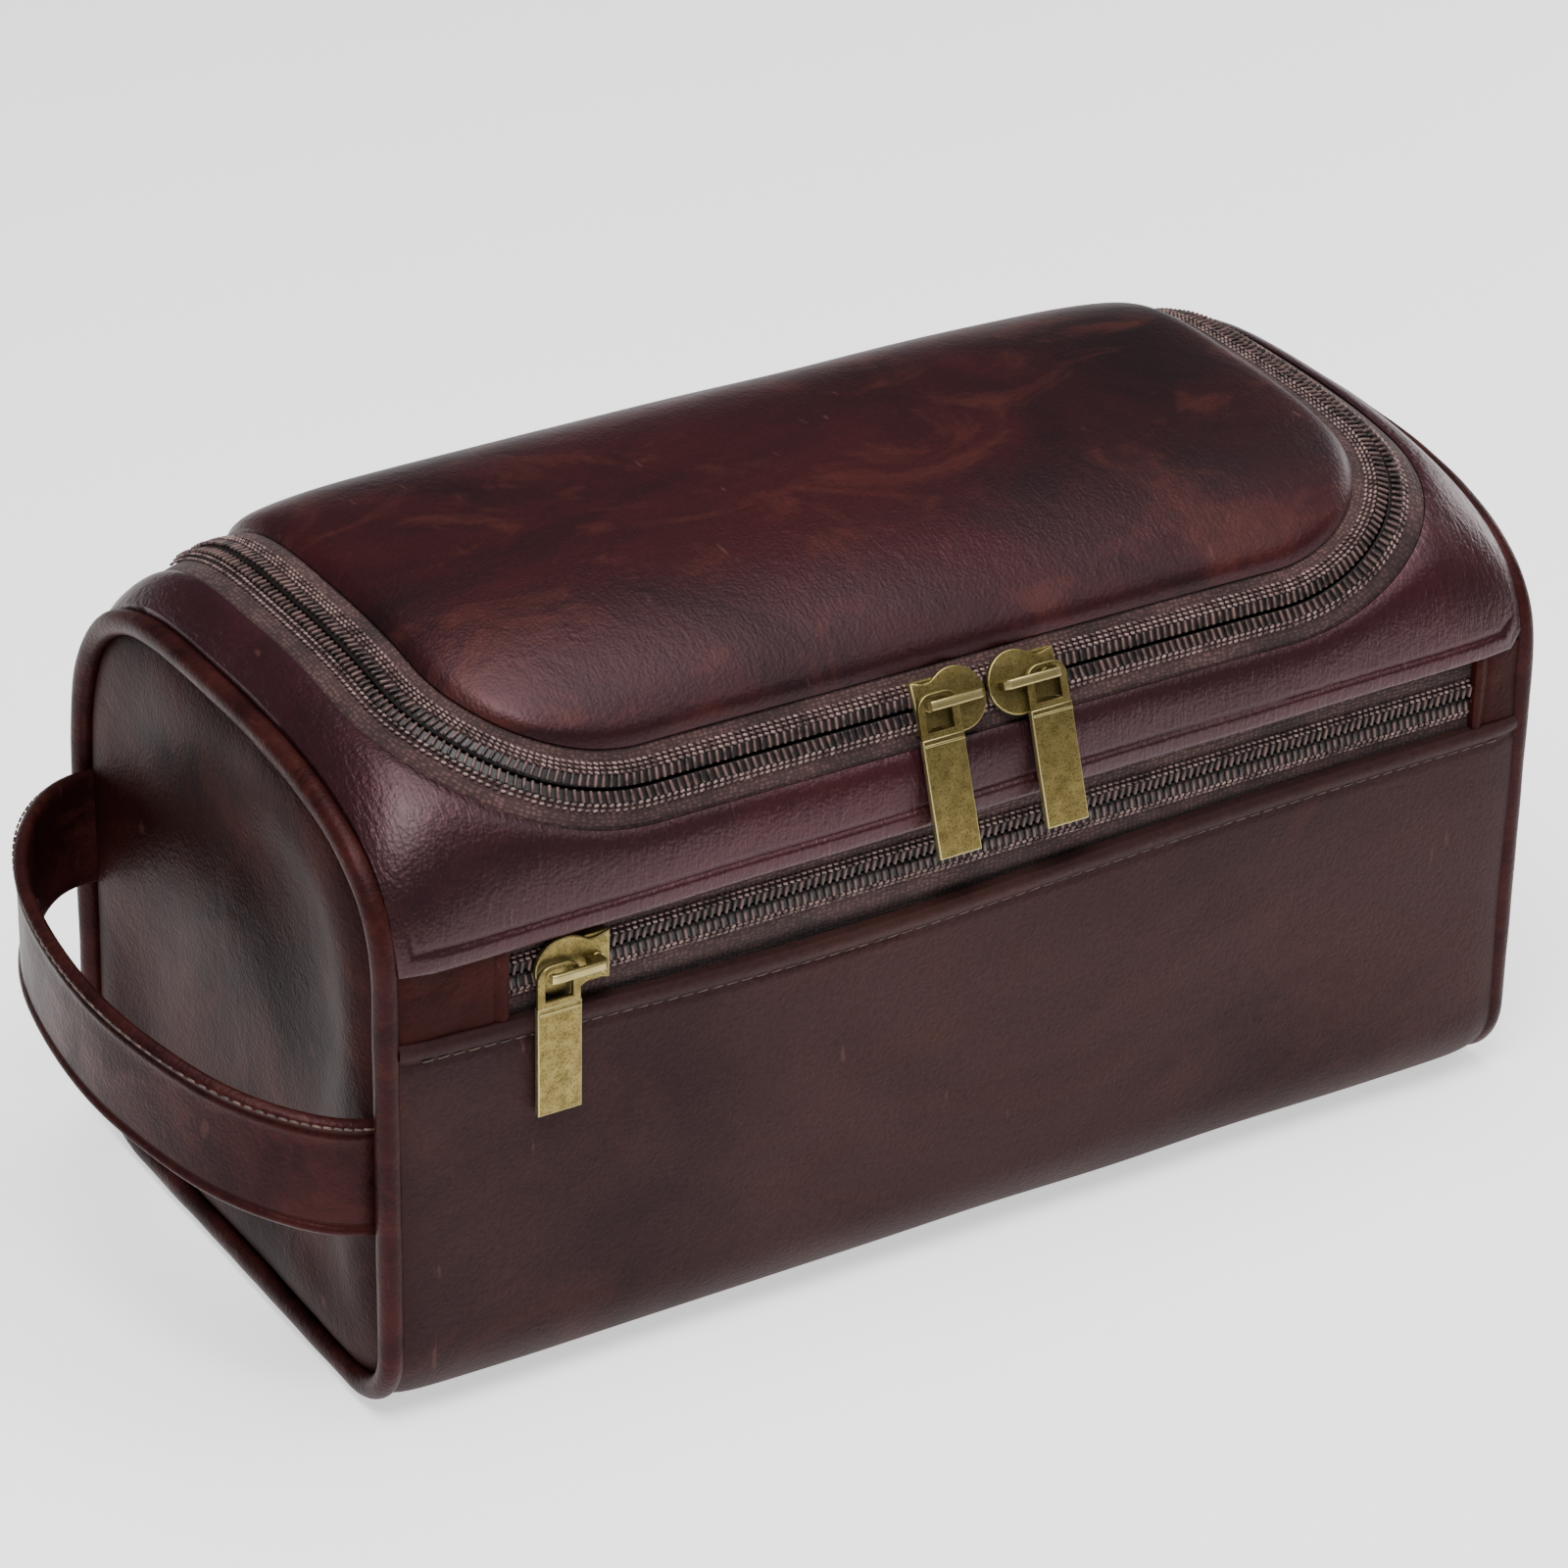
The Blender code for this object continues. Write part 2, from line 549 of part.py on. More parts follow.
def slider(name, kind_of_back, bar_to_tail=True):
    """A cast slider about its middle on the chain: x along the chain, y up the slope, z outwards.

    kind_of_back is "lid" for a back plate on the lid side alone, or "both". The bar stands on a post at one end
    and is free at the other, over the tail or over the head.
    """
    plate = outline(name, slider_plate_points(), 0.8 * MM)
    plate.data.transform(Matrix.Translation((0, 0, 0.6 * MM)))
    bar = [(5.2, 0.7), (5.2, 4.6), (4.8, 5.0), (-5.6, 5.0), (-6.3, 4.6), (-6.3, 3.7), (-5.7, 3.7), (-5.5, 4.0),
           (3.6, 4.0), (3.6, 0.7)]
    flip = 1 if bar_to_tail else -1
    bridge = outline("bridge", [(flip * x * MM, z * MM) for x, z in bar], 1.6 * MM)
    bridge.data.transform(Matrix.Rotation(math.pi / 2, 4, "X"))
    body = combine(plate, bridge, "UNION")
    body = combine(body, block("post", (3 * MM, 0.5 * MM, 4 * MM), (4.5 * MM, 0, -1.3 * MM)), "UNION")
    low, high = (-3.6 * MM, 3.6 * MM) if kind_of_back == "both" else (-0.25 * MM, 3.6 * MM)
    back = block("back", (12 * MM, high - low, 0.6 * MM), (0, (high + low) / 2, -3.2 * MM))
    return combine(body, back, "UNION")


def pull(name):
    """A pull tab about the bridge bar it hangs on: x across it, y along it, z outwards."""
    half = 4.5 * MM
    crown = 2.2 * MM
    ring = [(half, -7 * MM), *arc((half - 2.4 * MM, crown - 2.4 * MM), 2.4 * MM, 0, 90, 5),
            *arc((2.4 * MM - half, crown - 2.4 * MM), 2.4 * MM, 90, 180, 5), (-half, -7 * MM)]
    hole = [(2.9 * MM, -4.9 * MM), *arc((1.7 * MM, 0.1 * MM), 1.2 * MM, 0, 90, 4),
            *arc((-1.7 * MM, 0.1 * MM), 1.2 * MM, 90, 180, 4), (-2.9 * MM, -4.9 * MM)]
    loop = outline(name, ring, 1.0 * MM, [hole])
    loop.data.transform(Matrix.Translation((0, 0, -1.6 * MM)))
    tab = outline("tab", [(half, -6 * MM), (-half, -6 * MM), (-half, -29.3 * MM), (half, -29.3 * MM)], 1.5 * MM)
    tab.data.transform(Matrix.Translation((0, 0, -1.6 * MM)))
    return combine(loop, tab, "UNION")


def chain_frame(x, s, inset):
    """The frame of a slider on the skin at (x, s): columns along the chain, up the slope and outwards."""
    centre = skin(x, s, inset)
    out = (skin(x, s, 0) - skin(x, s, MM)).normalized()
    along = Vector((1, 0, 0))
    up = out.cross(along).normalized()
    columns = (along, up, out)
    return Matrix.Translation(centre) @ Matrix(columns).transposed().to_4x4()


def place_slider_set(bag, name, x, s, inset, kind_of_back, mirrored, bar_to_tail, tilt):
    """One slider and its pull. tilt turns the pull about the bar, in degrees, lower end inwards."""
    frame = chain_frame(x, s, inset)
    flip = Matrix.Diagonal((-1 if mirrored else 1, 1, 1, 1))
    body = slider(f"{name}_slider", kind_of_back, bar_to_tail)
    body.data.transform(flip)
    if mirrored:
        body.data.flip_normals()
    finish(placed(body, frame), "brass", bag)
    side = (1 if mirrored else -1) * (1 if bar_to_tail else -1)
    axis = Matrix.Translation((side * PULL_X, 0, BAR_N))
    hanging = frame @ axis @ Matrix.Rotation(math.radians(tilt), 4, "X")
    tab = pull(f"{name}_pull")
    finish(placed(tab, hanging), "brass", bag)
    print("AXIS", name, [round(v, 6) for v in (frame @ axis).translation], [round(v, 5) for v in body.location])


def make_sliders(bag):
    middle = (POCKET_Z + HEM_Z) / 2
    place_slider_set(bag, "left", LEFT_SLIDER_X, CHAIN_FRONT_S, COIL_IN, "lid", False, True, TOP_PULL_TILT)
    place_slider_set(bag, "right", RIGHT_SLIDER_X, CHAIN_FRONT_S, COIL_IN, "lid", True, True, TOP_PULL_TILT)
    pocket_s = s_front(POCKET_SLIDER_X, middle)
    place_slider_set(bag, "pocket", POCKET_SLIDER_X, pocket_s, COIL_IN + POCKET_RECESS, "both", True, False, 0)


# The handle


def handle_band(name, kind, collection, inset, thick):
    """One layer of the whole handle strap, from sewn end to sewn end."""
    places = []
    for angle in np.linspace(0, math.pi, 25):
        away = HANDLE_THICK / 2 - inset
        x = HANDLE_X - (HANDLE_BOW + away) * math.sin(angle)
        y = -(HANDLE_HALF_SPAN + away) * math.cos(angle)
        z = HANDLE_Z + HANDLE_RISE * y / HANDLE_HALF_SPAN + HANDLE_LIFT * math.sin(angle)
        places.append([Vector((x, y, z + w * HANDLE_WIDTH)) for w in (-0.5, 0, 0.5)])
    return sheet(name, kind, collection, facing(places, Vector((0, -1, 0))), thick)


def ear_cutter(radius):
    """A rod through both sewn ends: what is inside it is sewn down, and what is outside swings."""
    bpy.ops.mesh.primitive_cylinder_add(vertices=48, radius=radius, depth=150 * MM,
                                        rotation=(math.atan2(HANDLE_RISE, HANDLE_HALF_SPAN) - math.pi / 2, 0, 0),
                                        location=(HANDLE_X, 0, HANDLE_Z))
    return bpy.context.object


def make_handle(bag):
    strap = combine(as_mesh(handle_band("handle_strap", "leather", bag, 0, 1.4 * MM)),
                    ear_cutter(HANDLE_EAR_R), "DIFFERENCE")
    finish(strap, "leather", bag)
    backing = combine(as_mesh(handle_band("handle_backing", "leather", bag, 1.7 * MM, 0.9 * MM)),
                      ear_cutter(HANDLE_EAR_R), "DIFFERENCE")
    finish(backing, "leather", bag)
    for name, sign in (("handle_ear_front", -1), ("handle_ear_back", 1)):
        ear = combine(as_mesh(handle_band(name, "leather", bag, 0, HANDLE_THICK)),
                      ear_cutter(HANDLE_EAR_R - 0.4 * MM), "INTERSECT")
        ear = combine(ear, block("half", (80 * MM, 60 * MM, 80 * MM), (HANDLE_X, sign * 60 * MM, HANDLE_Z)),
                      "INTERSECT")
        finish(ear, "leather", bag)


def main():
    clear_scene()
    bag = new_collection("shaving_kit_bag")
    make_outer_panels(bag)
    make_pocket_front(bag)
    make_pocket_lining(bag)
    make_walls(bag)
    make_zip(bag)
    make_hinge_strip(bag)
    make_sliders(bag)
    make_handle(bag)


main()
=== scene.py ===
import contextlib
import functools
import math

import bpy
import numpy as np
from mathutils import Matrix, Vector, noise


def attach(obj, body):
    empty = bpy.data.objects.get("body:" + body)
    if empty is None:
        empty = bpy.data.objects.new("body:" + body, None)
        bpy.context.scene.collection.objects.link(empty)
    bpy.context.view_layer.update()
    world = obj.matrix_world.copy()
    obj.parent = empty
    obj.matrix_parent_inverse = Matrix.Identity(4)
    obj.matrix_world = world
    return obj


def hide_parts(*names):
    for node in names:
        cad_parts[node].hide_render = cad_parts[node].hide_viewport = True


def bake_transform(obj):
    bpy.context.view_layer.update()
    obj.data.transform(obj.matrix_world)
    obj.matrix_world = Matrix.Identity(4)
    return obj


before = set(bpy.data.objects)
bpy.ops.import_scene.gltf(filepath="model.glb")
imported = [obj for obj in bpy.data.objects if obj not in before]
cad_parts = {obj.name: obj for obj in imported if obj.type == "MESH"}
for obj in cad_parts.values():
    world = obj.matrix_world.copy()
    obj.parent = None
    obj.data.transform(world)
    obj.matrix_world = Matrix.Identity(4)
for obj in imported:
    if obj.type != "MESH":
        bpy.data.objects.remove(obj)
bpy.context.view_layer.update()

MM = 0.001

# Camera: a long lens looking down a little at the bag's front and left end.

AZIMUTH, ELEVATION, ROLL = math.radians(-31.8), math.radians(29.3), math.radians(1.2)
TARGET, DISTANCE = Vector((-0.005, 0, 0.0723)), 1.165


def look_from(azimuth, elevation):
    """The direction from the bag towards a viewer at this azimuth and elevation."""
    return Vector((math.sin(azimuth) * math.cos(elevation), -math.cos(azimuth) * math.cos(elevation),
                   math.sin(elevation)))


bpy.ops.object.camera_add(location=TARGET + look_from(AZIMUTH, ELEVATION) * DISTANCE)
camera = bpy.context.object
camera.name = "camera"
aim = look_from(AZIMUTH, ELEVATION).to_track_quat("Z", "Y").to_matrix().to_4x4()
camera.rotation_euler = (aim @ Matrix.Rotation(ROLL, 4, "Z")).to_euler()
camera.data.lens = 134.7
camera.data.sensor_width = 36
camera.data.clip_end = 20
bpy.context.scene.camera = camera

# Floor and light: a white table in a dim room, with soft lamps above and beside the bag, so that waxed leather shows
# a few pale highlights and stays dark elsewhere.


def linear(code):
    """An sRGB hex colour as linear red, green, blue and alpha."""
    parts = [int(code[i:i + 2], 16) / 255 for i in (1, 3, 5)]
    return (*[c / 12.92 if c <= 0.04045 else ((c + 0.055) / 1.055) ** 2.4 for c in parts], 1.0)


BLEND, SMOOTH = {"data_type": "RGBA"}, {"feature": "SMOOTH_F1"}
MULTIPLY = {"data_type": "RGBA", "blend_type": "MULTIPLY"}


def add_node(tree, kind, inputs=None, settings=None, stops=None, output=0):
    """Adds a node and gives back one output. inputs maps a socket to a value or to another node's output."""
    node = tree.nodes.new("ShaderNode" + kind)
    for key, value in (settings or {}).items():
        setattr(node, key, value)
    for key, value in (inputs or {}).items():
        if isinstance(value, bpy.types.NodeSocket):
            tree.links.new(value, node.inputs[key])
        else:
            node.inputs[key].default_value = linear(value) if isinstance(value, str) else value
    for index, (at, colour) in enumerate(stops or ()):
        stop = node.color_ramp.elements[index]
        stop.position, stop.color = at, linear(colour)
    return node.outputs[output]


def new_material(name, **shader_values):
    """A material with its shader's own values set; returns the material, its tree and the shader."""
    made = bpy.data.materials.new(name)
    made.use_nodes = True
    shader = made.node_tree.nodes["Principled BSDF"]
    for key, value in shader_values.items():
        shader.inputs[key.replace("_", " ")].default_value = linear(value) if isinstance(value, str) else value
    return made, made.node_tree, shader


def plug(tree, shader, **sources):
    """Links each output to the shader's socket of that name."""
    for key, source in sources.items():
        tree.links.new(source, shader.inputs[key.replace("_", " ")])


bpy.ops.mesh.primitive_plane_add(size=8, location=(0, 0, -0.0005))
floor = bpy.context.object
floor.name = "floor"
white_table, tree, shader = new_material("white_painted_table", Roughness=0.85, Emission_Strength=0.95,
                                         Base_Color="#f6f6f5", Emission_Color="#ffffff")
floor.data.materials.append(white_table)

room = bpy.data.worlds.new("white_room")
room.use_nodes = True
room.node_tree.nodes["Background"].inputs["Color"].default_value = linear("#eceaf2")
room.node_tree.nodes["Background"].inputs["Strength"].default_value = 0.16
bpy.context.scene.world = room

for name, azimuth, elevation, distance, size, power in (
    ("lamp_key", -38, 62, 1.2, (0.55, 0.4), 11),
    ("lamp_top", 20, 86, 1.3, (1.0, 0.8), 16),
    ("lamp_front_right", 45, 50, 1.4, (0.6, 0.4), 2.8),
    ("lamp_right", 104, 14, 0.9, (0.35, 0.5), 2.5),
    ("lamp_left_low", -85, 22, 1.2, (0.5, 0.4), 1),
):
    way = look_from(math.radians(azimuth), math.radians(elevation))
    bpy.ops.object.light_add(type="AREA", location=way * distance)
    lamp = bpy.context.object
    lamp.name = name
    lamp.rotation_euler = way.to_track_quat("Z", "Y").to_euler()
    lamp.data.shape = "RECTANGLE"
    lamp.data.size, lamp.data.size_y = size
    lamp.data.energy = power

# The last: the loaf shape that every panel is cut and sewn to. A point on it is given by x and by the distance s
# from the ridge, measured down the front, under the base and up the back.

LENGTH, DEPTH = 260 * MM, 132 * MM
END_HEIGHT, CROWN, CROWN_POWER = 128 * MM, 15 * MM, 8
RIDGE_Y, FRONT_SPRING, BACK_SPRING = 8 * MM, 91 * MM, 72 * MM
ARCH_POWER, FRONT_FILLET, BACK_FILLET = 2.9, 16 * MM, 26 * MM
PIPING_R = 2.5 * MM
PIPING_X = LENGTH / 2 - PIPING_R
SEAM_X = LENGTH / 2 - 2 * PIPING_R + 1 * MM  # where the wrapped panels meet the piping
HINGE_Y = 52 * MM


def quarter(centre, radius_y, radius_z, start, stop, power, count):
    """A quarter of a superellipse as (y, z) points, between two angles in degrees."""
    angles = np.radians(np.linspace(start, stop, count))
    cosine, sine = np.cos(angles), np.sin(angles)
    y = centre[0] + radius_y * np.sign(cosine) * np.abs(cosine) ** (2 / power)
    z = centre[1] + radius_z * np.sign(sine) * np.abs(sine) ** (2 / power)
    return np.column_stack([y, z])


@functools.lru_cache(maxsize=None)
def outline(x):
    top = END_HEIGHT + CROWN * (1 - min(1.0, abs(x) / PIPING_X) ** CROWN_POWER)
    half = DEPTH / 2
    arcs = [
        quarter((RIDGE_Y, FRONT_SPRING), half + RIDGE_Y, top - FRONT_SPRING, 90, 180, ARCH_POWER, 400),
        quarter((FRONT_FILLET - half, FRONT_FILLET), FRONT_FILLET, FRONT_FILLET, 180, 270, 2, 40),
        quarter((half - BACK_FILLET, BACK_FILLET), BACK_FILLET, BACK_FILLET, 270, 360, 2, 40),
        quarter((RIDGE_Y, BACK_SPRING), half - RIDGE_Y, top - BACK_SPRING, 0, 90, ARCH_POWER, 400),
    ]
    points = np.vstack(arcs)
    apart = np.linalg.norm(np.diff(points, axis=0), axis=1)
    points = points[np.concatenate([[True], apart > 1e-7])]
    run = np.concatenate([[0], np.cumsum(np.linalg.norm(np.diff(points, axis=0), axis=1))])
    even = np.linspace(0, run[-1], 1201)
    points = np.column_stack([np.interp(even, run, points[:, 0]), np.interp(even, run, points[:, 1])])
    slope = np.gradient(points, axis=0)
    for _ in range(3):
        slope[1:-1] = (slope[:-2] + slope[1:-1] * 2 + slope[2:]) / 4
    slope[0] = slope[-1] = (-1, 0)
    normals = np.column_stack([slope[:, 1], -slope[:, 0]])
    return points, even, normals / np.linalg.norm(normals, axis=1)[:, None]


def section_at(x):
    """The outline at x: its points, their distances from the ridge and the outward normals."""
    return outline(round(float(x), 6))


def on_last(x, s, out=0.0):
    """Points at x and the distances s from the ridge, raised by out; one row of x, y, z for each s."""
    points, run, normals = section_at(x)
    s = np.atleast_1d(s) % run[-1]
    y, z = np.interp(s, run, points[:, 0]), np.interp(s, run, points[:, 1])
    normal = np.column_stack([np.interp(s, run, normals[:, i]) for i in (0, 1)])
    normal /= np.linalg.norm(normal, axis=1)[:, None]
    return np.column_stack([np.full_like(y, x), y + normal[:, 0] * out, z + normal[:, 1] * out])


def round_length(x):
    return section_at(x)[1][-1]


def s_front(x, z):
    """The distance s at which the front passes height z."""
    points, run, _ = section_at(x)
    last = int(np.argmin(points[:, 1]))
    return float(np.interp(-z, -points[:last, 1], run[:last]))


def s_base(x, y):
    """The distance s at which the flat base passes y."""
    points, run, _ = section_at(x)
    low = points[:, 1] < 1e-5
    return float(np.interp(y, points[low, 0], run[low]))


def s_back(x, y):
    """The distance s, below zero, at which the top of the back passes y."""
    points, run, _ = section_at(x)
    behind = (points[:, 0] > RIDGE_Y + 1e-6) & (points[:, 1] > BACK_SPRING)
    return float(np.interp(-y, -points[behind, 0], run[behind]) - run[-1])


def grid_sheet(name, places, closed=False):
    """A grid primitive laid out on places, an array of rows of points; closed joins the last row to the first."""
    rows, columns = places.shape[:2]
    bpy.ops.object.select_all(action="DESELECT")
    bpy.ops.mesh.primitive_grid_add(x_subdivisions=rows - 1, y_subdivisions=columns - 1, size=2)
    obj = bpy.context.object
    obj.name = name
    flat = np.empty(len(obj.data.vertices) * 3)
    obj.data.vertices.foreach_get("co", flat)
    flat = flat.reshape(-1, 3)
    i = np.rint((flat[:, 0] + 1) / 2 * (rows - 1)).astype(int)
    j = np.rint((flat[:, 1] + 1) / 2 * (columns - 1)).astype(int)
    obj.data.vertices.foreach_set("co", places[i, j].ravel())
    obj.data.update()
    if closed:
        apply_modifier(obj, "WELD", merge_threshold=1e-6)
    return obj


def pick(obj):
    """Selects this object alone."""
    bpy.ops.object.select_all(action="DESELECT")
    obj.select_set(True)
    bpy.context.view_layer.objects.active = obj


def apply_modifier(obj, kind, **settings):
    """Adds a modifier with these settings and applies it."""
    pick(obj)
    modifier = obj.modifiers.new(kind.title(), kind)
    for key, value in settings.items():
        setattr(modifier, key, value)
    bpy.ops.object.modifier_apply(modifier=modifier.name)


def face_out(obj, way):
    """Turns the faces over if most of them look against way, a function from a place to a direction."""
    total = sum(poly.normal.dot(way(poly.center)) for poly in list(obj.data.polygons)[::7])
    if total < 0:
        obj.data.flip_normals()


def smooth(obj, degrees=40):
    pick(obj)
    bpy.ops.object.shade_smooth_by_angle(angle=math.radians(degrees))


@contextlib.contextmanager
def editing(obj):
    """Edit mode, with the whole of this object selected."""
    pick(obj)
    bpy.ops.object.mode_set(mode="EDIT")
    bpy.ops.mesh.select_all(action="SELECT")
    yield
    bpy.ops.object.mode_set(mode="OBJECT")


def from_core(place):
    """The direction from the bag's long axis to this place."""
    return Vector((0, place.y - RIDGE_Y / 2, place.z - END_HEIGHT / 2 - MM))


def thicken(name, places, way, thick, uv=None):
    """A piece of leather or cloth whose outer face is laid on places; it is thickened inwards."""
    obj = grid_sheet(name, np.array(places))
    if uv is not None:
        lay_flat(obj, uv)
    face_out(obj, way)
    apply_modifier(obj, "SOLIDIFY", thickness=thick, offset=-1)
    smooth(obj)
    return obj


def swell(distance, middle, width):
    """A smooth ridge's profile: 1 at this distance, and next to nothing from about twice the width on."""
    return np.exp(-(((distance - middle) / width) ** 2))


def fade(distance, reach):
    """1 at a seam or an edge, falling off over this reach from it."""
    return np.exp(-distance / reach)


# Leather: chrome-tanned cowhide, waxed and burnished by hand. The wax gives a soft shine with pale highlights, and
# rubbing leaves dark clouds and warm patches where it was pulled.


def burnished_leather(name, dark, middle, warm, cloud=22.0, shine=0.4, grain=0.5, crease=0.25, warmth=0.6, coat=0.2,
                      wax=0.4, pore=0.8, lines=0.0):
    """Leather in three tones: clouds of dark over the middle one, with patches of the warm one."""
    made, tree, shader = new_material(name, Coat_Weight=coat, Coat_Roughness=0.3, Specular_IOR_Level=wax,
                                      Specular_Tint="#ffc6d0", Coat_Tint="#ffe0e6")
    place = add_node(tree, "TexCoord", output="Object")
    smear = add_node(tree, "Mapping", {"Vector": place, "Scale": (0.75, 1.15, 1.15), "Rotation": (0.2, 0.1, 0.35)})
    clouds = add_node(tree, "TexNoise", {"Vector": smear, "Scale": cloud, "Detail": 6.0, "Roughness": 0.6,
                                         "Distortion": 0.5})
    tone = add_node(tree, "ValToRGB", {0: clouds}, stops=[(0.36, dark), (0.62, middle)])
    patches = add_node(tree, "TexNoise", {"Vector": smear, "Scale": cloud * 1.9, "Detail": 7.0,
                                          "Roughness": 0.66, "Distortion": 1.2})
    amount = add_node(tree, "MapRange", {"Value": patches, "From Min": warmth - 0.07,
                                         "From Max": warmth + 0.12, "To Max": 0.65})
    colour = add_node(tree, "Mix", {0: amount, 6: tone, 7: warm}, BLEND, output=2)
    # Pores pore millimetres apart, over soft folds some 8 mm apart
    pores = add_node(tree, "TexVoronoi", {"Vector": place, "Scale": 1000.0 / pore, "Smoothness": 0.6}, SMOOTH)
    fine = add_node(tree, "TexNoise", {"Vector": place, "Scale": 900.0, "Detail": 4.0})
    folds = add_node(tree, "TexNoise", {"Vector": place, "Scale": 120.0, "Detail": 5.0, "Distortion": 1.6})
    # Short scratches in the wax
    drawn = add_node(tree, "Mapping", {"Vector": place, "Rotation": (0.3, 0.6, 0.5), "Scale": (1, 0.25, 0.2)})
    marks = add_node(tree, "TexNoise", {"Vector": drawn, "Scale": 520.0, "Detail": 1.0})
    mark = add_node(tree, "MapRange", {"Value": marks, "From Min": 0.75, "From Max": 0.82, "To Max": 0.25})
    colour = add_node(tree, "Mix", {0: mark, 6: colour, 7: "#6b4a42"}, BLEND, output=2)
    grey = add_node(tree, "ValToRGB", {0: fine}, stops=[(0.3, "#9a9a9a"), (0.6, "#ffffff")])
    colour = add_node(tree, "Mix", {0: 0.35, 6: colour, 7: grey}, MULTIPLY, output=2)
    rough = add_node(tree, "MapRange", {"Value": clouds, "From Min": 0.3, "From Max": 0.7,
                                        "To Min": shine + 0.07, "To Max": shine - 0.05})
    bump = add_node(tree, "Bump", {"Height": folds, "Strength": crease, "Distance": 0.0006})
    bump = add_node(tree, "Bump", {"Height": pores, "Strength": grain, "Distance": 0.00025 * pore, "Normal": bump})
    bump = add_node(tree, "Bump", {"Height": fine, "Strength": grain * 0.6, "Distance": 0.0001, "Normal": bump})
    if lines:
        # Fine wrinkles about 1 mm apart, where the leather is stretched over an edge
        wrinkles = add_node(tree, "TexNoise", {"Vector": drawn, "Scale": 1000.0, "Detail": 3.0, "Distortion": 0.7})
        bump = add_node(tree, "Bump", {"Height": wrinkles, "Strength": lines, "Distance": 0.0004, "Normal": bump})
    plug(tree, shader, Base_Color=colour, Roughness=rough, Normal=bump)
    return made


lid_leather = burnished_leather("burnished_cowhide_lid", "#0d0304", "#2d0d0f", "#47221a",
                                cloud=21.0, shine=0.42, coat=0.06, wax=0.32, grain=0.4, pore=0.7, lines=0.25,
                                warmth=0.59)
yoke_leather = burnished_leather("burnished_cowhide_yoke", "#17080b", "#2c1217", "#331814",
                                 cloud=16.0, shine=0.37, coat=0.13, wax=0.36, grain=0.45, crease=0.3, pore=0.75,
                                 lines=0.7)
front_leather = burnished_leather("waxed_cowhide_front", "#231616", "#31201e", "#3a231c",
                                  cloud=14.0, shine=0.55, crease=0.15, coat=0.0, wax=0.12)
end_leather = burnished_leather("waxed_cowhide_ends", "#170605", "#311410", "#3a1c15",
                                cloud=16.0, shine=0.5, crease=0.3, coat=0.0, wax=0.07, lines=0.25)
welt_leather = burnished_leather("burnished_cowhide_welt", "#1c0a09", "#321614", "#3c1c16",
                                 cloud=60.0, shine=0.42, grain=0.4, coat=0.0, wax=0.12)


def cover(obj, material):
    obj.data.materials.clear()
    obj.data.materials.append(material)


def wear(obj, material, node_slot, body, *nodes):
    """Gives a finished piece its material and, through body, its place in the frame; body is None for a piece left
    unattached.
    """
    cover(obj, material)
    if body:
        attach(obj, body)
    if nodes:
        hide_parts(*nodes)


# Base, front and back panels: single pieces of leather, folded over at their free edges, sewn into the seams at the
# ends. Each is a sheet laid on the last, a little fuller between its seams than at them.

LEATHER, CLOTH = 1.2 * MM, 0.5 * MM  # thicknesses
SKIRT = 2.2 * MM  # how far a folded edge turns in


def soft_edge(distance, fullness, reach):
    """How far leather rises between seams, at this distance from the nearest one."""
    return fullness * (1 - fade(np.maximum(distance, 0), reach))


def drift(*place):
    """Smooth noise between -1 and 1, one unit coarse."""
    return noise.noise(Vector(place))


def unevenness(x, s, size, pitch, seed=0.0):
    """Slight unevenness of soft leather: smooth noise of this height and pitch."""
    return np.array([size * drift(x / pitch, v / pitch, seed) for v in np.atleast_1d(s)])


def wrapped_panel(name, limits, shape, rows, columns):
    """A panel round the last between two distances; shape(x, s, start, stop) gives its height over the last."""
    places = []
    for x in np.linspace(-SEAM_X, SEAM_X, rows):
        start, stop = limits(float(x))
        s = np.linspace(start, stop, columns)
        s = np.concatenate([[start], s, [stop]])
        out = shape(float(x), s, start, stop)
        out[0] -= SKIRT
        out[-1] -= SKIRT
        places.append(on_last(x, s, out))
    return thicken(name, places, from_core, LEATHER)


BASE_FRONT_Y, BASE_BACK_Y = -44.5 * MM, 36 * MM
POCKET_Z, HEM_Z = 82.7 * MM, 98.8 * MM


def pocket_edge_z(x):
    """The pocket's top edge is slack, so it hangs lowest left of its middle."""
    return POCKET_Z + 1.5 * MM - 4.0 * MM * swell(x, -35 * MM, 75 * MM)


def hem_z(x):
    return HEM_Z + 1.4 * MM * x / SEAM_X


HEM_WIDTH = 3.4 * MM


def base_shape(x, s, start, stop):
    return np.minimum(soft_edge(np.minimum(s - start, stop - s), 0.9 * MM, 2 * MM) - 0.9 * MM, 0)


base = wrapped_panel("base_leather", lambda x: (s_base(x, BASE_FRONT_Y), s_base(x, BASE_BACK_Y)), base_shape, 60, 30)
wear(base, front_leather, "leather", "bag", "base_panel")


def front_shape(x, s, start, stop):
    """The folded top edge stands up as a ridge, with the row of stitches sunk below it."""
    from_top, from_end = s - start, SEAM_X - abs(x)
    out = soft_edge(from_end, 1.2 * MM, 3 * MM) - 1.2 * MM
    ridge = 0.8 * MM * np.sqrt(np.clip(1 - ((from_top - HEM_WIDTH / 2) / (HEM_WIDTH / 2)) ** 2, 0, 1))
    groove = -0.5 * MM * swell(from_top, HEM_WIDTH + 0.7 * MM, 0.6 * MM)
    seam = soft_edge(stop - s, 0.8 * MM, 2 * MM) - 0.8 * MM
    belly = unevenness(x, s, 0.7 * MM, 46 * MM) * np.clip(from_top / (20 * MM), 0, 1)
    return out + ridge + groove + seam + belly + 0.5 * MM


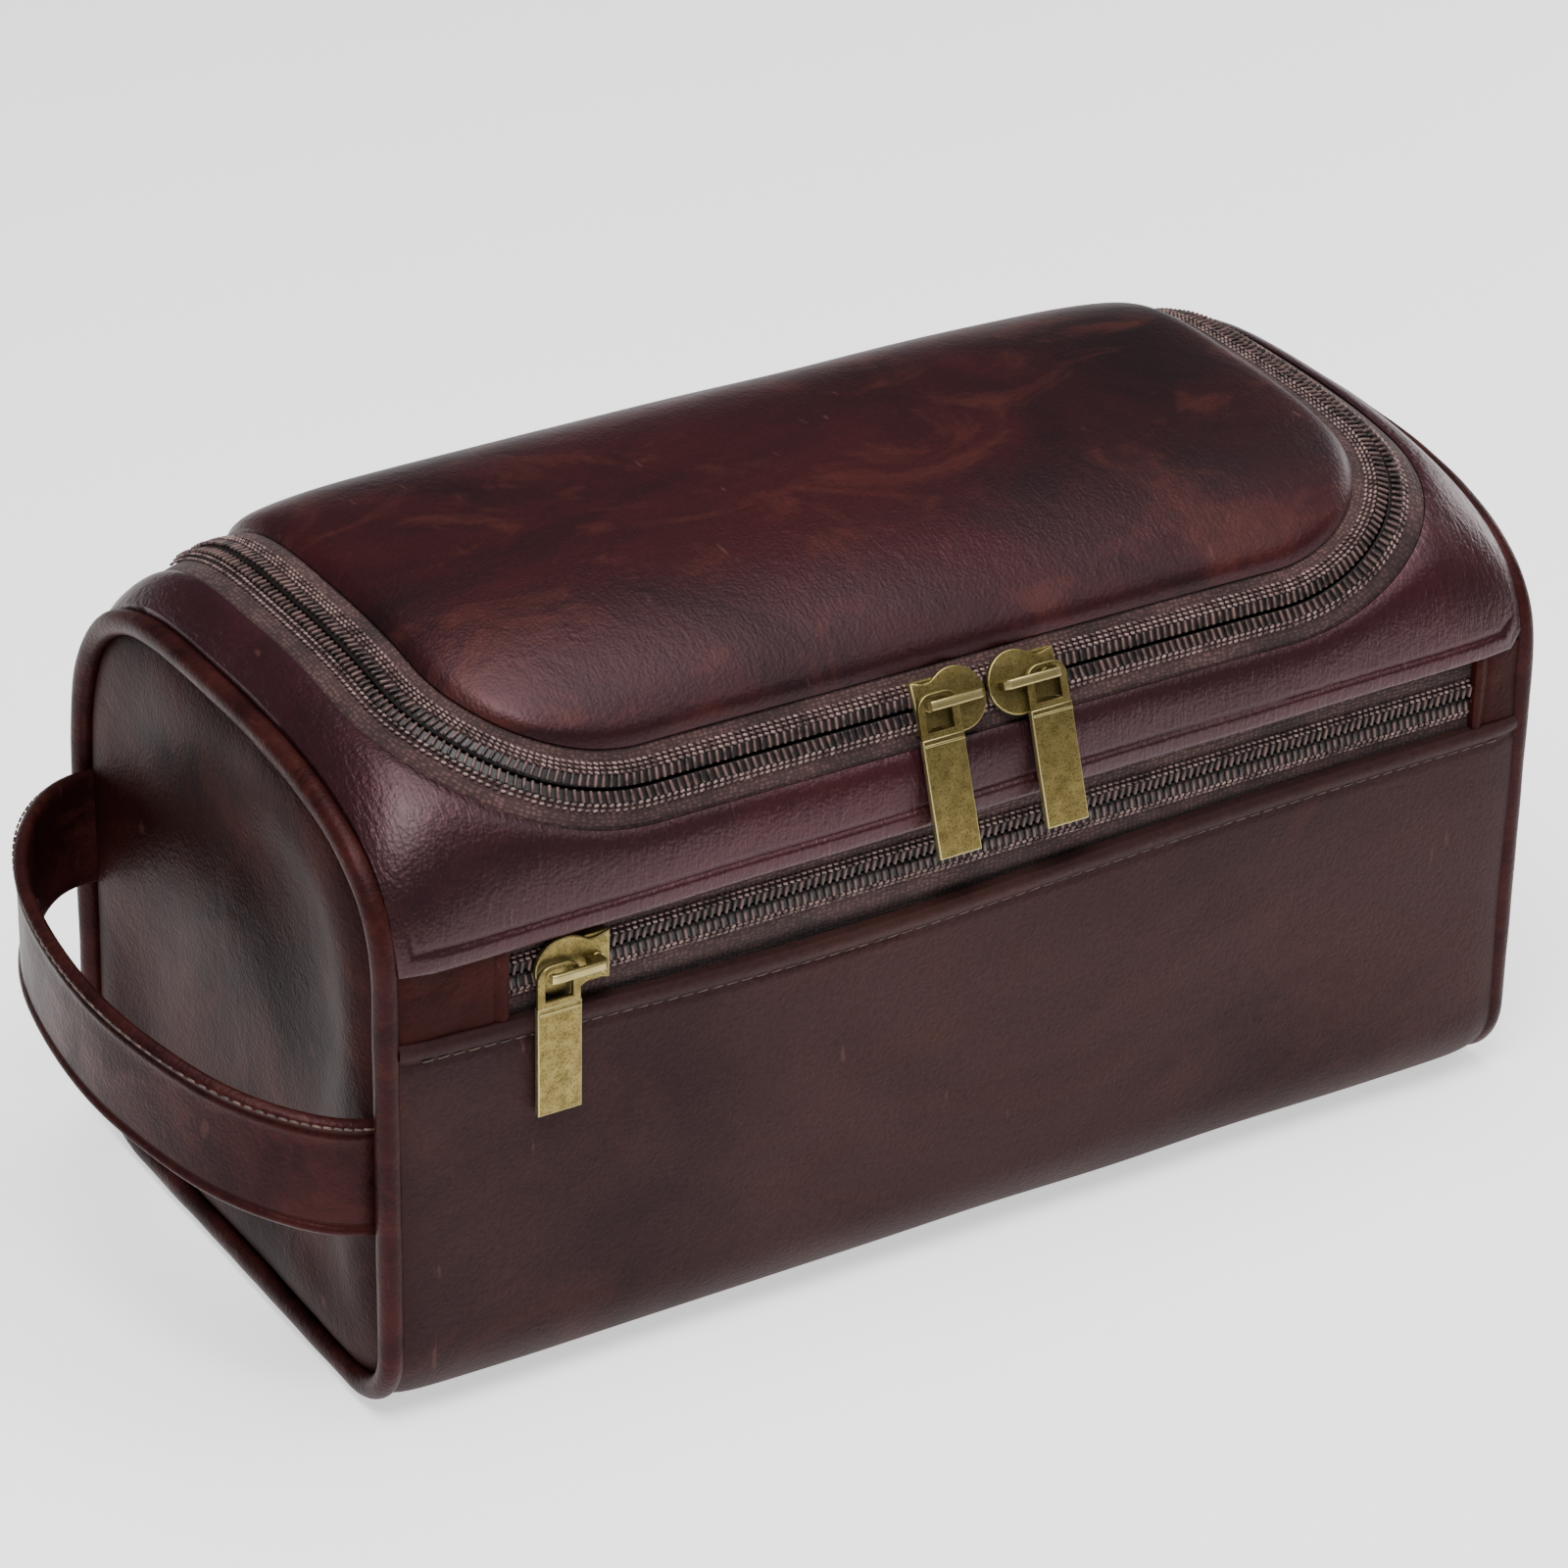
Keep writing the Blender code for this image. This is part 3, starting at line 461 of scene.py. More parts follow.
front = wrapped_panel("front_pocket_leather", lambda x: (s_front(x, pocket_edge_z(x)), s_base(x, BASE_FRONT_Y)),
                      front_shape, 200, 110)
wear(front, front_leather, "leather", "bag", "front_pocket_panel", "pocket_edge_binding")


def back_shape(x, s, start, stop):
    out = soft_edge(SEAM_X - abs(x), 1.2 * MM, 3 * MM) - 1.2 * MM
    seam = soft_edge(np.minimum(s - start, stop - s), 0.8 * MM, 2 * MM) - 0.8 * MM
    return out + seam + unevenness(x, s, 1.0 * MM, 52 * MM, 4.0) * np.clip((s - start) / (25 * MM), 0, 1)


back = wrapped_panel("back_leather",
                     lambda x: (s_base(x, BASE_BACK_Y), round_length(x) + s_back(x, HINGE_Y + 0.6 * MM)),
                     back_shape, 140, 90)
wear(back, front_leather, "leather", "bag", "back_panel")

# Zip line: the U that the lid's zip follows, given by x and s. turn runs 0 to 1 up the left side, round the corner to
# 1.3, along the front to 1.7, and back down the right side to 3.

CHAIN_X, CHAIN_FRONT_Z, CHAIN_CORNER = 110 * MM, 120.5 * MM, 40 * MM
CHAIN_FRONT_S = s_front(0, CHAIN_FRONT_Z)
LEATHER_EDGE = 7.6 * MM  # from the middle of the teeth to the folded edges beside them
CORNER_TURN, FRONT_TURN = 0.3, 0.2  # how much of turn a corner takes, and half of the front run
MIDDLE_TURN = 1 + CORNER_TURN + FRONT_TURN


def one_side(turn):
    """The side that turn is on, -1 or 1, and the same place counted from that side's hinge end."""
    return (-1, turn) if turn <= MIDDLE_TURN else (1, 2 * MIDDLE_TURN - turn)


def zip_spot(turn, offset):
    """Where the zip line runs, as (x, s); offset is outwards from the middle of the teeth."""
    side, front_s, corner = CHAIN_X + offset, CHAIN_FRONT_S + offset, CHAIN_CORNER + offset
    side_end, front_end = front_s - corner, side - corner
    sign, t = one_side(turn)
    if t < 1:
        back_s = s_back(side, HINGE_Y)
        return sign * side, back_s + (side_end - back_s) * t
    if t < 1 + CORNER_TURN:
        angle = (t - 1) / CORNER_TURN * math.pi / 2
        return sign * (front_end + corner * math.cos(angle)), side_end + corner * math.sin(angle)
    return sign * front_end * (1 - (t - (1 + CORNER_TURN)) / FRONT_TURN), front_s


def turns(step):
    """Values of turn spaced evenly along the zip line, about step apart."""
    fine = np.linspace(0, 2 * MIDDLE_TURN, 3001)
    spots = np.array([on_last(*zip_spot(t, 0.0))[0] for t in fine])
    run = np.concatenate([[0], np.cumsum(np.linalg.norm(np.diff(spots, axis=0), axis=1))])
    return np.interp(np.linspace(0, run[-1], int(run[-1] / step) + 1), run, fine), run[-1]


# Yoke: the shoulder between the zip and the ends, one U-shaped piece of leather. It is folded under beside the zip,
# and its front edge is folded to a flat hem over the pocket's zip.


def yoke_sheet(name, near, half_x, hem, heights, step, thick):
    """Lines across the yoke, from the zip's edge out to the end seams and the hem, at hem(x) up the front."""
    values, _ = turns(step)
    corner_x, corner_s = CHAIN_X - CHAIN_CORNER, CHAIN_FRONT_S - CHAIN_CORNER
    places = []
    weights = np.concatenate([np.linspace(0, 0.72, 26), np.linspace(0.74, 1, 26)])
    for turn in values:
        x, s = zip_spot(turn, near)
        sign, t = one_side(turn)
        if t < 1:
            far_x, far_s = sign * half_x, s + (s_back(half_x, HINGE_Y) - s_back(abs(x), HINGE_Y)) * (1 - t)
        elif t < 1 + CORNER_TURN:
            hem_s = s_front(half_x, hem(sign * half_x))
            angle = (t - 1) / CORNER_TURN * math.pi / 2
            if angle <= math.atan2(hem_s - corner_s, half_x - corner_x):
                far_x, far_s = sign * half_x, corner_s + (half_x - corner_x) * math.tan(angle)
            else:
                far_x = corner_x + (hem_s - corner_s) / math.tan(angle)
                far_s = s_front(far_x, hem(sign * far_x))
                far_x *= sign
        else:
            far_x, far_s = x, s_front(x, hem(x))
        length = math.hypot(far_x - x, far_s - s)
        line = []
        for w in (0, *weights, 1):
            px, ps = x + (far_x - x) * w, s + (far_s - s) * w
            line.append([px, ps, heights(px, ps, w * length, half_x - abs(px))])
        line[0][2] -= SKIRT
        line[-1][2] -= SKIRT
        places.append([on_last(*spot)[0] for spot in line])
    return thicken(name, places, from_core, thick)


YOKE_PITCH, LID_PITCH = 0.03, 0.035  # metres between the soft swellings of the leather


def yoke_height(x, s, from_zip, from_end):
    """Full beside the zip, sunk at the end seams, with a step, a groove and a rolled edge at the hem."""
    out = 1.3 * MM * (1 - fade(from_zip, 2.2 * MM)) - 0.5 * MM - 1.2 * MM * fade(from_end, 3 * MM)
    out += 0.5 * MM * drift(x / YOKE_PITCH, s / YOKE_PITCH, 2.0)
    if s > CHAIN_FRONT_S:
        up = s_front(x, hem_z(x)) - s
        step = 0.55 * MM / (1 + math.exp(np.clip((up - 3.5 * MM) / (0.22 * MM), -30, 30)))
        out += min(1, from_end / (5 * MM)) * step
        out -= 0.3 * MM * swell(up, 4.1 * MM, 0.45 * MM) + 0.4 * MM * fade(up, 0.4 * MM)
    return out


yoke = yoke_sheet("yoke_leather", LEATHER_EDGE, SEAM_X, hem_z, yoke_height, 2.2 * MM, LEATHER)
wear(yoke, yoke_leather, "leather", "bag", "yoke_panel", "yoke_hem")

# End panels: soft leather with no board behind it, so each end bulges beside its seam and sinks in the middle.


END_X = 124.6 * MM  # where the end leather meets the piping


def end_panel(name, sign):
    """A disc of leather inside the piping, on the end outline."""
    total = round_length(PIPING_X)
    rim = on_last(PIPING_X, np.linspace(0, total, 161)[:-1], -PIPING_R * 0.9)[:, 1:]
    middle = np.array([2 * MM, 62 * MM])
    places = []
    for point in rim:
        line = []
        away = np.linalg.norm(point - middle)
        for w in np.linspace(0, 1, 46) ** 0.8:
            y, z = middle + (point - middle) * w
            d = (1 - w) * away
            bulge = 4.6 * MM * (1 - fade(d, 3.2 * MM)) * (0.55 + 0.45 * swell(d, 11 * MM, 13 * MM))
            soft = drift(y / 0.038, z / 0.05, 3.1 * sign) * 2.2 * MM
            fold = drift(y / 0.012 + z / 0.03, z / 0.06, 7.7 * sign) * 0.5 * MM
            line.append((sign * (END_X + bulge + (soft + fold) * min(1, d / (18 * MM))), y, z))
        places.append(line)
    places.append(places[0])
    obj = grid_sheet(name, np.array(places), closed=True)
    face_out(obj, lambda place: Vector((sign, 0, 0)))
    apply_modifier(obj, "SOLIDIFY", thickness=1.2 * MM, offset=-1)
    smooth(obj)
    return obj


for side, sign in (("left", -1), ("right", 1)):
    wear(end_panel(f"{side}_end_leather", sign), end_leather, "end_leather", "bag", f"{side}_end_panel")

# Piping: a cord wrapped in a strip of thin leather and sewn into each end seam.


def welt(name, sign):
    total = round_length(PIPING_X)
    places = []
    around = np.linspace(0, 2 * math.pi, 25)
    for s in np.linspace(0, total, 321):
        radius = PIPING_R * (1 + 0.06 * drift(s / 0.012, sign, 0))
        centre = on_last(PIPING_X, s, -PIPING_R)[0]
        edge = on_last(PIPING_X, s, 0)[0]
        out = (edge - centre) / np.linalg.norm(edge - centre)
        places.append([(sign * (PIPING_X + radius * math.sin(a)), *(centre[1:] + out[1:] * radius * math.cos(a)))
                       for a in around])
    places[-1] = places[0]
    obj = grid_sheet(name, np.array(places), closed=True)
    with editing(obj):
        bpy.ops.mesh.normals_make_consistent(inside=False)
    smooth(obj, 60)
    return obj


for side, sign in (("left", -1), ("right", 1)):
    wear(welt(f"{side}_piping_leather", sign), welt_leather, "piping_leather", "bag", f"{side}_piping")

# Lid: a padded leather panel, its edge folded under over foam, so that it stands proud of the zip's tape.


def lid_sheet(name, offset, back_y, heights, columns, rows, thick, skirt=SKIRT):
    """A sheet over the lid inside the zip line's U; heights(x, s, to_edge, to_hinge) gives its height."""
    side, front_s, corner = CHAIN_X + offset, CHAIN_FRONT_S + offset, CHAIN_CORNER + offset
    corner_x, corner_s = side - corner, front_s - corner
    across = np.concatenate([[-1], np.linspace(-1, 1, columns), [1]])
    down = np.concatenate([[-1], np.linspace(-1, 1, rows), [1]])
    places = []
    for i, a in enumerate(across):
        line = []
        for j, b in enumerate(down):
            reach = max(abs(a), abs(b))
            x = a * side
            back_s = s_back(min(abs(x), side), back_y)
            mid = (back_s + front_s) / 2
            s = mid + b * (front_s - mid)
            if b > 0 and reach > 0:
                # Pull the square corner in to the rounded one, more so near the edge
                bx, bs = a / reach * side, mid + b / reach * (front_s - mid)
                if abs(bx) > corner_x and bs > corner_s:
                    low, high = 0.0, 1.0
                    for _ in range(18):
                        k = (low + high) / 2
                        ex, es = abs(bx) * k - corner_x, mid + (bs - mid) * k - corner_s
                        inside = ex <= 0 or es <= 0 or math.hypot(ex, es) <= corner
                        low, high = (k, high) if inside else (low, k)
                    shrink = 1 - (1 - low) * reach ** 4
                    x, s = x * shrink, mid + (s - mid) * shrink
            qx, qs = abs(x) - corner_x, s - corner_s
            in_corner = qx > 0 and qs > 0
            to_edge = corner - math.hypot(qx, qs) if in_corner else min(side - abs(x), front_s - s)
            out = heights(x, s, to_edge, s - s_back(abs(x), back_y))
            if i in (0, columns + 1) or j in (0, rows + 1):
                out -= skirt
            line.append(on_last(x, s, out)[0])
        places.append(line)
    return thicken(name, places, lambda place: Vector((0, 0, 1)), thick)


def lid_height(x, s, to_edge, to_hinge):
    to_edge, to_hinge = max(to_edge, 0), max(to_hinge, 0)
    roll = 1.9 * MM * (1 - fade(to_edge, 1.5 * MM)) - 0.5 * MM
    fill = 1.0 * MM * (1 - fade(to_edge, 26 * MM))
    hinge = -1.4 * MM * fade(to_hinge, 3 * MM)
    return roll + fill + hinge + 0.35 * MM * drift(x / LID_PITCH, s / LID_PITCH, 9.0)


lid = lid_sheet("lid_leather", -LEATHER_EDGE, HINGE_Y - 0.6 * MM, lid_height, 150, 90, LEATHER)
wear(lid, lid_leather, "leather", "lid", "lid_panel")

# Zips: size 8 nylon coil zips. The teeth are a coil of thick nylon thread sewn along the edge of a woven tape, so
# each half shows slanting bars beside the slit and two rows of thread behind them.

WOVEN_PITCH = 1.1 * MM


def woven_tape(name, dark, light, across=0.8 * MM, along=WOVEN_PITCH, depth=1.0):
    """Polyester ribbon: small knots in rows along the tape; the weave follows the piece's own UV map, in metres."""
    made, tree, shader = new_material(name, Roughness=0.82, Specular_IOR_Level=0.25, Sheen_Weight=0.15,
                                      Sheen_Roughness=0.5)
    flat = add_node(tree, "UVMap", settings={"uv_map": "UVMap"})
    wavy = add_node(tree, "TexNoise", {"Vector": flat, "Scale": 260.0, "Detail": 3.0}, output="Color")
    bent = add_node(tree, "Mix", {0: 0.0012, 4: flat, 5: wavy}, {"data_type": "VECTOR"}, output=1)
    rows = add_node(tree, "Mapping", {"Vector": bent, "Scale": (1 / along, 1 / across, 1)})
    knots = add_node(tree, "TexVoronoi", {"Vector": rows, "Scale": 1.0, "Randomness": 0.45, "Smoothness": 0.2}, SMOOTH)
    tone = add_node(tree, "ValToRGB", {0: knots}, stops=[(0.12, light), (0.52, dark)])
    worn = add_node(tree, "TexNoise", {"Vector": flat, "Scale": 70.0, "Detail": 5.0})
    shade = add_node(tree, "ValToRGB", {0: worn}, stops=[(0.35, "#8c7d7a"), (0.65, "#ffffff")])
    colour = add_node(tree, "Mix", {0: 0.8, 6: tone, 7: shade}, MULTIPLY, output=2)
    bump = add_node(tree, "Bump", {"Height": knots, "Strength": depth, "Distance": 0.0003}, {"invert": True})
    plug(tree, shader, Base_Color=colour, Normal=bump)
    return made


def nylon(name, dark, light, pitch=400.0):
    """Dyed nylon thread: dull, paler in random patches."""
    made, tree, shader = new_material(name, Roughness=0.5)
    place = add_node(tree, "TexCoord", output="Object")
    paleness = add_node(tree, "TexNoise", {"Vector": place, "Scale": pitch, "Detail": 3.0})
    tone = add_node(tree, "ValToRGB", {0: paleness}, stops=[(0.36, dark), (0.62, light)])
    fibres = add_node(tree, "TexNoise", {"Vector": place, "Scale": 2600.0, "Detail": 2.0})
    bump = add_node(tree, "Bump", {"Height": fibres, "Strength": 0.4, "Distance": 0.0001})
    plug(tree, shader, Base_Color=tone, Normal=bump)
    return made


tape_cloth = woven_tape("woven_polyester_tape", "#352120", "#5b403d", depth=0.8)
coil_nylon = nylon("nylon_coil", "#180c0b", "#5b433f")
core_nylon = nylon("nylon_coil_core", "#0c0605", "#190e0c")
knot_thread = nylon("zip_thread", "#33211f", "#876e69", 500.0)


def lay_flat(obj, uv):
    """Writes the piece's UV map from its grid: uv is an array of (u, v) for each row and column."""
    layer = obj.data.uv_layers[0]
    rows, columns = uv.shape[:2]
    old = np.empty(len(layer.data) * 2)
    layer.data.foreach_get("uv", old)
    old = old.reshape(-1, 2)
    i = np.rint(old[:, 0] * (rows - 1)).astype(int)
    j = np.rint(old[:, 1] * (columns - 1)).astype(int)
    layer.data.foreach_set("uv", uv[i, j].ravel())


def strip(name, spots, lengths, offsets, heights):
    """A ribbon along a zip: spots(length, offset) gives (x, s), heights matches offsets."""
    places = [[on_last(*spots(d, o), h)[0] for o, h in zip(offsets, heights)] for d in lengths]
    return thicken(name, places, from_core, CLOTH, np.array([[(d, o) for o in offsets] for d in lengths]))


def small_block(name, size, round_by, segments):
    """A block with rounded edges, modelled once and then repeated."""
    bpy.ops.object.select_all(action="DESELECT")
    bpy.ops.mesh.primitive_cube_add(size=1)
    obj = bpy.context.object
    obj.name = name
    with editing(obj):
        bpy.ops.transform.resize(value=size)
        bpy.ops.mesh.bevel(offset=round_by, segments=segments)
    return obj


def spot_frame(spots, d, o, h, slant):
    """Where a piece sits on a zip: x along it, y outwards across it, z off the surface, as a 4 x 4 array."""
    here = on_last(*spots(d, o), h)[0]
    ahead = on_last(*spots(d + 0.3 * MM, o), h)[0] - on_last(*spots(d - 0.3 * MM, o), h)[0]
    up = on_last(*spots(d, o), h + MM)[0] - here
    ahead, up = ahead / np.linalg.norm(ahead), up / np.linalg.norm(up)
    side = np.cross(up, ahead)
    side /= np.linalg.norm(side)
    cosine, sine = math.cos(slant), math.sin(slant)
    ahead, side = ahead * cosine + side * sine, side * cosine - ahead * sine
    frame4 = np.eye(4)
    frame4[:3, 0], frame4[:3, 1], frame4[:3, 2], frame4[:3, 3] = ahead, side, np.cross(ahead, side), here
    return frame4


def repeat(name, model, frames):
    """One mesh that holds a copy of model at each frame. The model is removed."""
    count = len(model.data.vertices)
    flat = np.empty(count * 3)
    model.data.vertices.foreach_get("co", flat)
    corners = np.column_stack([flat.reshape(-1, 3), np.ones(count)])
    faces = [tuple(poly.vertices) for poly in model.data.polygons]
    points = np.vstack([(corners @ m.T)[:, :3] for m in frames])
    copies = [tuple(v + k * count for v in face) for k in range(len(frames)) for face in faces]
    mesh = bpy.data.meshes.new(name)
    mesh.from_pydata(points.tolist(), [], copies)
    mesh.update()
    bpy.data.objects.remove(model)
    obj = bpy.data.objects.new(name, mesh)
    bpy.context.scene.collection.objects.link(obj)
    smooth(obj, 50)
    return obj


TOOTH_PITCH, KNOT_PITCH = 1.6 * MM, 1.4 * MM
TAPE_H, CORE_H, TOOTH_H = -1.25 * MM, -0.75 * MM, -0.35 * MM


TWO_ROWS = [("inner", 3.0, 0.0), ("outer", 3.9, -0.4)]  # the rows of thread: name, offset and height, millimetres


def zip_half(prefix, spots, low, length, sign, body, nodes, rows=TWO_ROWS, tape_out=12 * MM):
    """One half of a zip: its tape, the coil's dark core, the bars of the coil and the rows of thread."""
    coarse = np.linspace(low, length, int((length - low) / (2 * MM)))
    offsets = sign * np.array([0.4, 1.5, 3.0, 4.5, 6.0, 7.5, 9.0, tape_out / MM]) * MM
    lift = np.array([0.0, 0.0, 0.0, 0.15, 0.25, 0.1, -0.5, -0.9]) * MM + TAPE_H
    tape = strip(f"{prefix}_tape_cloth", spots, coarse, offsets, lift)
    wear(tape, tape_cloth, "tape", body, nodes[0])
    core = strip(f"{prefix}_coil_core", spots, coarse, sign * np.array([0.3, 0.7, 2.4, 2.8]) * MM,
                 np.array([-0.5, 0.0, 0.1, -0.35]) * MM + CORE_H)
    wear(core, core_nylon, "coil", body, nodes[1])
    count = int((length - low) / TOOTH_PITCH)
    shift = 0.25 if sign > 0 else 0.75
    teeth = [spot_frame(spots, low + (k + shift) * TOOTH_PITCH, sign * 1.5 * MM, TOOTH_H, 0.16 * sign)
             for k in range(count)]
    bars = repeat(f"{prefix}_coil_teeth", small_block("tooth", (0.62 * MM, 2.3 * MM, 0.8 * MM), 0.24 * MM, 2), teeth)
    wear(bars, coil_nylon, "coil", body)
    for row, offset, height in rows:
        count = int((length - low) / KNOT_PITCH)
        knots = [spot_frame(spots, low + (k + 0.5) * KNOT_PITCH, sign * offset * MM, TOOTH_H + height * MM, 0.3 * sign)
                 for k in range(count)]
        thread = repeat(f"{prefix}_{row}_thread", small_block("knot", (1.0 * MM, 0.55 * MM, 0.5 * MM), 0.18 * MM, 1),
                        knots)
        wear(thread, knot_thread, "coil", body)


ZIP_START = 3 * MM  # from the hinge to the zip's first tooth
zip_turns, ZIP_LENGTH = turns(1 * MM)
zip_runs = np.linspace(0, ZIP_LENGTH, len(zip_turns))


def lid_zip(d, offset):
    return zip_spot(float(np.interp(d, zip_runs, zip_turns)), offset)


zip_half("body", lid_zip, ZIP_START, ZIP_LENGTH - ZIP_START, 1, "bag", ("body_tape", "body_coil"))
zip_half("lid", lid_zip, ZIP_START, ZIP_LENGTH - ZIP_START, -1, "lid", ("lid_tape", "lid_coil"),
         [("inner", 3.0, 0.0), ("middle", 3.9, -0.25), ("outer", 4.8, -0.45)])

POCKET_MIDDLE_Z = (POCKET_Z + HEM_Z) / 2
POCKET_RECESS = 0.8 * MM
POCKET_LEFT_X, POCKET_RIGHT_X = -103.5 * MM, 114.5 * MM


def pocket_zip(d, offset):
    """The pocket's zip runs straight; offset is downwards."""
    return d, s_front(d, POCKET_MIDDLE_Z) + offset


TAPE_H, CORE_H, TOOTH_H = TAPE_H - POCKET_RECESS, CORE_H - POCKET_RECESS, TOOTH_H - POCKET_RECESS
for part, sign in (("pocket_lower", 1), ("pocket_upper", -1)):
    half = part.split("_")[1]
    zip_half(part, pocket_zip, POCKET_LEFT_X - 6 * MM, POCKET_RIGHT_X + 6 * MM, sign, "bag",
             (f"pocket_tape_{half}", f"pocket_coil_{half}"), tape_out=12.5 * MM)

# End tabs of the pocket's zip: a scrap of leather sewn over each end of the chain.


def end_tab(name, low, high, inner):
    """inner is the side, -1 or 1, of the edge that is folded under beside the chain."""
    xs = np.linspace(low, high, 24)
    xs = np.append(xs, high) if inner > 0 else np.insert(xs, 0, low)
    folded = len(xs) - 1 if inner > 0 else 0
    places = []
    for i, x in enumerate(xs):
        s = np.linspace(s_front(x, hem_z(x) + 1 * MM), s_front(x, pocket_edge_z(x) - 1.5 * MM), 18)
        near, far = (high - x, x - low) if inner > 0 else (x - low, high - x)
        height = 0.5 * MM * swell(near, 1.2 * MM, 0.9 * MM) - 0.15 * MM
        height -= 1.0 * MM * fade(far, 2.5 * MM) + 0.3 * MM * swell(near, 3 * MM, 0.5 * MM)
        if i == folded:
            height -= 1.6 * MM
        places.append(on_last(x, s, height + unevenness(x, s, 0.35 * MM, 9 * MM)))
    return thicken(name, places, from_core, 0.9 * MM)


wear(end_tab("left_zip_tab", -SEAM_X, POCKET_LEFT_X, 1), end_leather, "leather", "bag", "pocket_end_tab_left")
wear(end_tab("right_zip_tab", POCKET_RIGHT_X, SEAM_X, -1), end_leather, "leather", "bag", "pocket_end_tab_right")

# Stitching: waxed brown thread, lock-stitched below the pocket's folded edge. The handle has a row of it too.

thread_brown = nylon("waxed_polyester_thread", "#2a1c19", "#5a4439", 300.0)


STITCH_PITCH, SEAM_START, SEAM_END = 3.2 * MM, -122 * MM, 122 * MM


def pocket_seam(d, offset):
    return d, s_front(d, pocket_edge_z(d)) + HEM_WIDTH + 0.6 * MM + offset


seam = [spot_frame(pocket_seam, SEAM_START + (k + 0.5) * STITCH_PITCH, 0, 0.12 * MM, 0.05)
        for k in range(int((SEAM_END - SEAM_START) / STITCH_PITCH))]
wear(repeat("pocket_edge_stitches", small_block("stitch", (2.3 * MM, 0.5 * MM, 0.42 * MM), 0.18 * MM, 1), seam),
     thread_brown, "leather", "bag")

# Sliders: zinc castings, antiqued brass. Each is a teardrop plate over the chain, with its edges turned down and a
# bridge over the top, which the pull hangs on.

brass, tree, shader = new_material("antiqued_brass_casting", Metallic=1.0, Specular_IOR_Level=0.5)
place = add_node(tree, "TexCoord", output="Object")
mottle = add_node(tree, "TexNoise", {"Vector": place, "Scale": 420.0, "Detail": 5.0})
speckle = add_node(tree, "TexNoise", {"Vector": place, "Scale": 2600.0, "Detail": 3.0})
tone = add_node(tree, "ValToRGB", {0: mottle}, stops=[(0.3, "#675a33"), (0.7, "#857649")])
spots = add_node(tree, "ValToRGB", {0: speckle}, stops=[(0.36, "#c9c4b8"), (0.5, "#ffffff")])
# Painted edge highlight: a paler brass is mixed in on the sharp convex edges, found by their pointiness.
edge = add_node(tree, "NewGeometry", output="Pointiness")
paleness = add_node(tree, "MapRange", {"Value": edge, "From Min": 0.52, "From Max": 0.62})
tarnish = add_node(tree, "Mix", {0: 1.0, 6: tone, 7: spots}, MULTIPLY, output=2)
tarnish_and_painted_edge_highlight = add_node(tree, "Mix", {0: paleness, 6: tarnish, 7: "#b5a876"}, BLEND, output=2)
rough = add_node(tree, "MapRange", {"Value": mottle, "To Min": 0.5, "To Max": 0.36})
bump = add_node(tree, "Bump", {"Height": speckle, "Strength": 0.35, "Distance": 0.0001})
plug(tree, shader, Base_Color=tarnish_and_painted_edge_highlight, Roughness=rough, Normal=bump)


def flat_plate(name, points, thick, bevel, holes=(), level=0.0):
    """A plate from a flat curve, its edges rounded; lengths in millimetres, level is its middle's height."""
    curve = bpy.data.curves.new(name, "CURVE")
    curve.dimensions, curve.fill_mode = "2D", "BOTH"
    curve.extrude, curve.bevel_depth, curve.bevel_resolution = (thick / 2 - bevel) * MM, bevel * MM, 2
    curve.offset = -bevel * MM
    for ring in (points, *holes):
        spline = curve.splines.new("POLY")
        spline.points.add(len(ring) - 1)
        for spot, (x, y) in zip(spline.points, ring):
            spot.co = (x * MM, y * MM, 0, 1)
        spline.use_cyclic_u = True
    obj = bpy.data.objects.new(name, curve)
    bpy.context.scene.collection.objects.link(obj)
    pick(obj)
    bpy.ops.object.convert(target="MESH")
    obj = bpy.context.object
    with editing(obj):
        bpy.ops.mesh.remove_doubles(threshold=1e-6)
        bpy.ops.mesh.normals_make_consistent(inside=False)
        bpy.ops.transform.translate(value=(0, 0, level * MM))
    return obj


def bow(centre, radius, start, stop, count):
    angles = np.radians(np.linspace(start, stop, count))
    return [(centre[0] + radius * math.cos(a), centre[1] + radius * math.sin(a)) for a in angles]


def united(obj, *others):
    for other in others:
        apply_modifier(obj, "BOOLEAN", operation="UNION", object=other, solver="EXACT")
        bpy.data.objects.remove(other)
    return obj


SLIDER_HALF = 7.75  # millimetres, as all lengths in slider_model and pull_model are


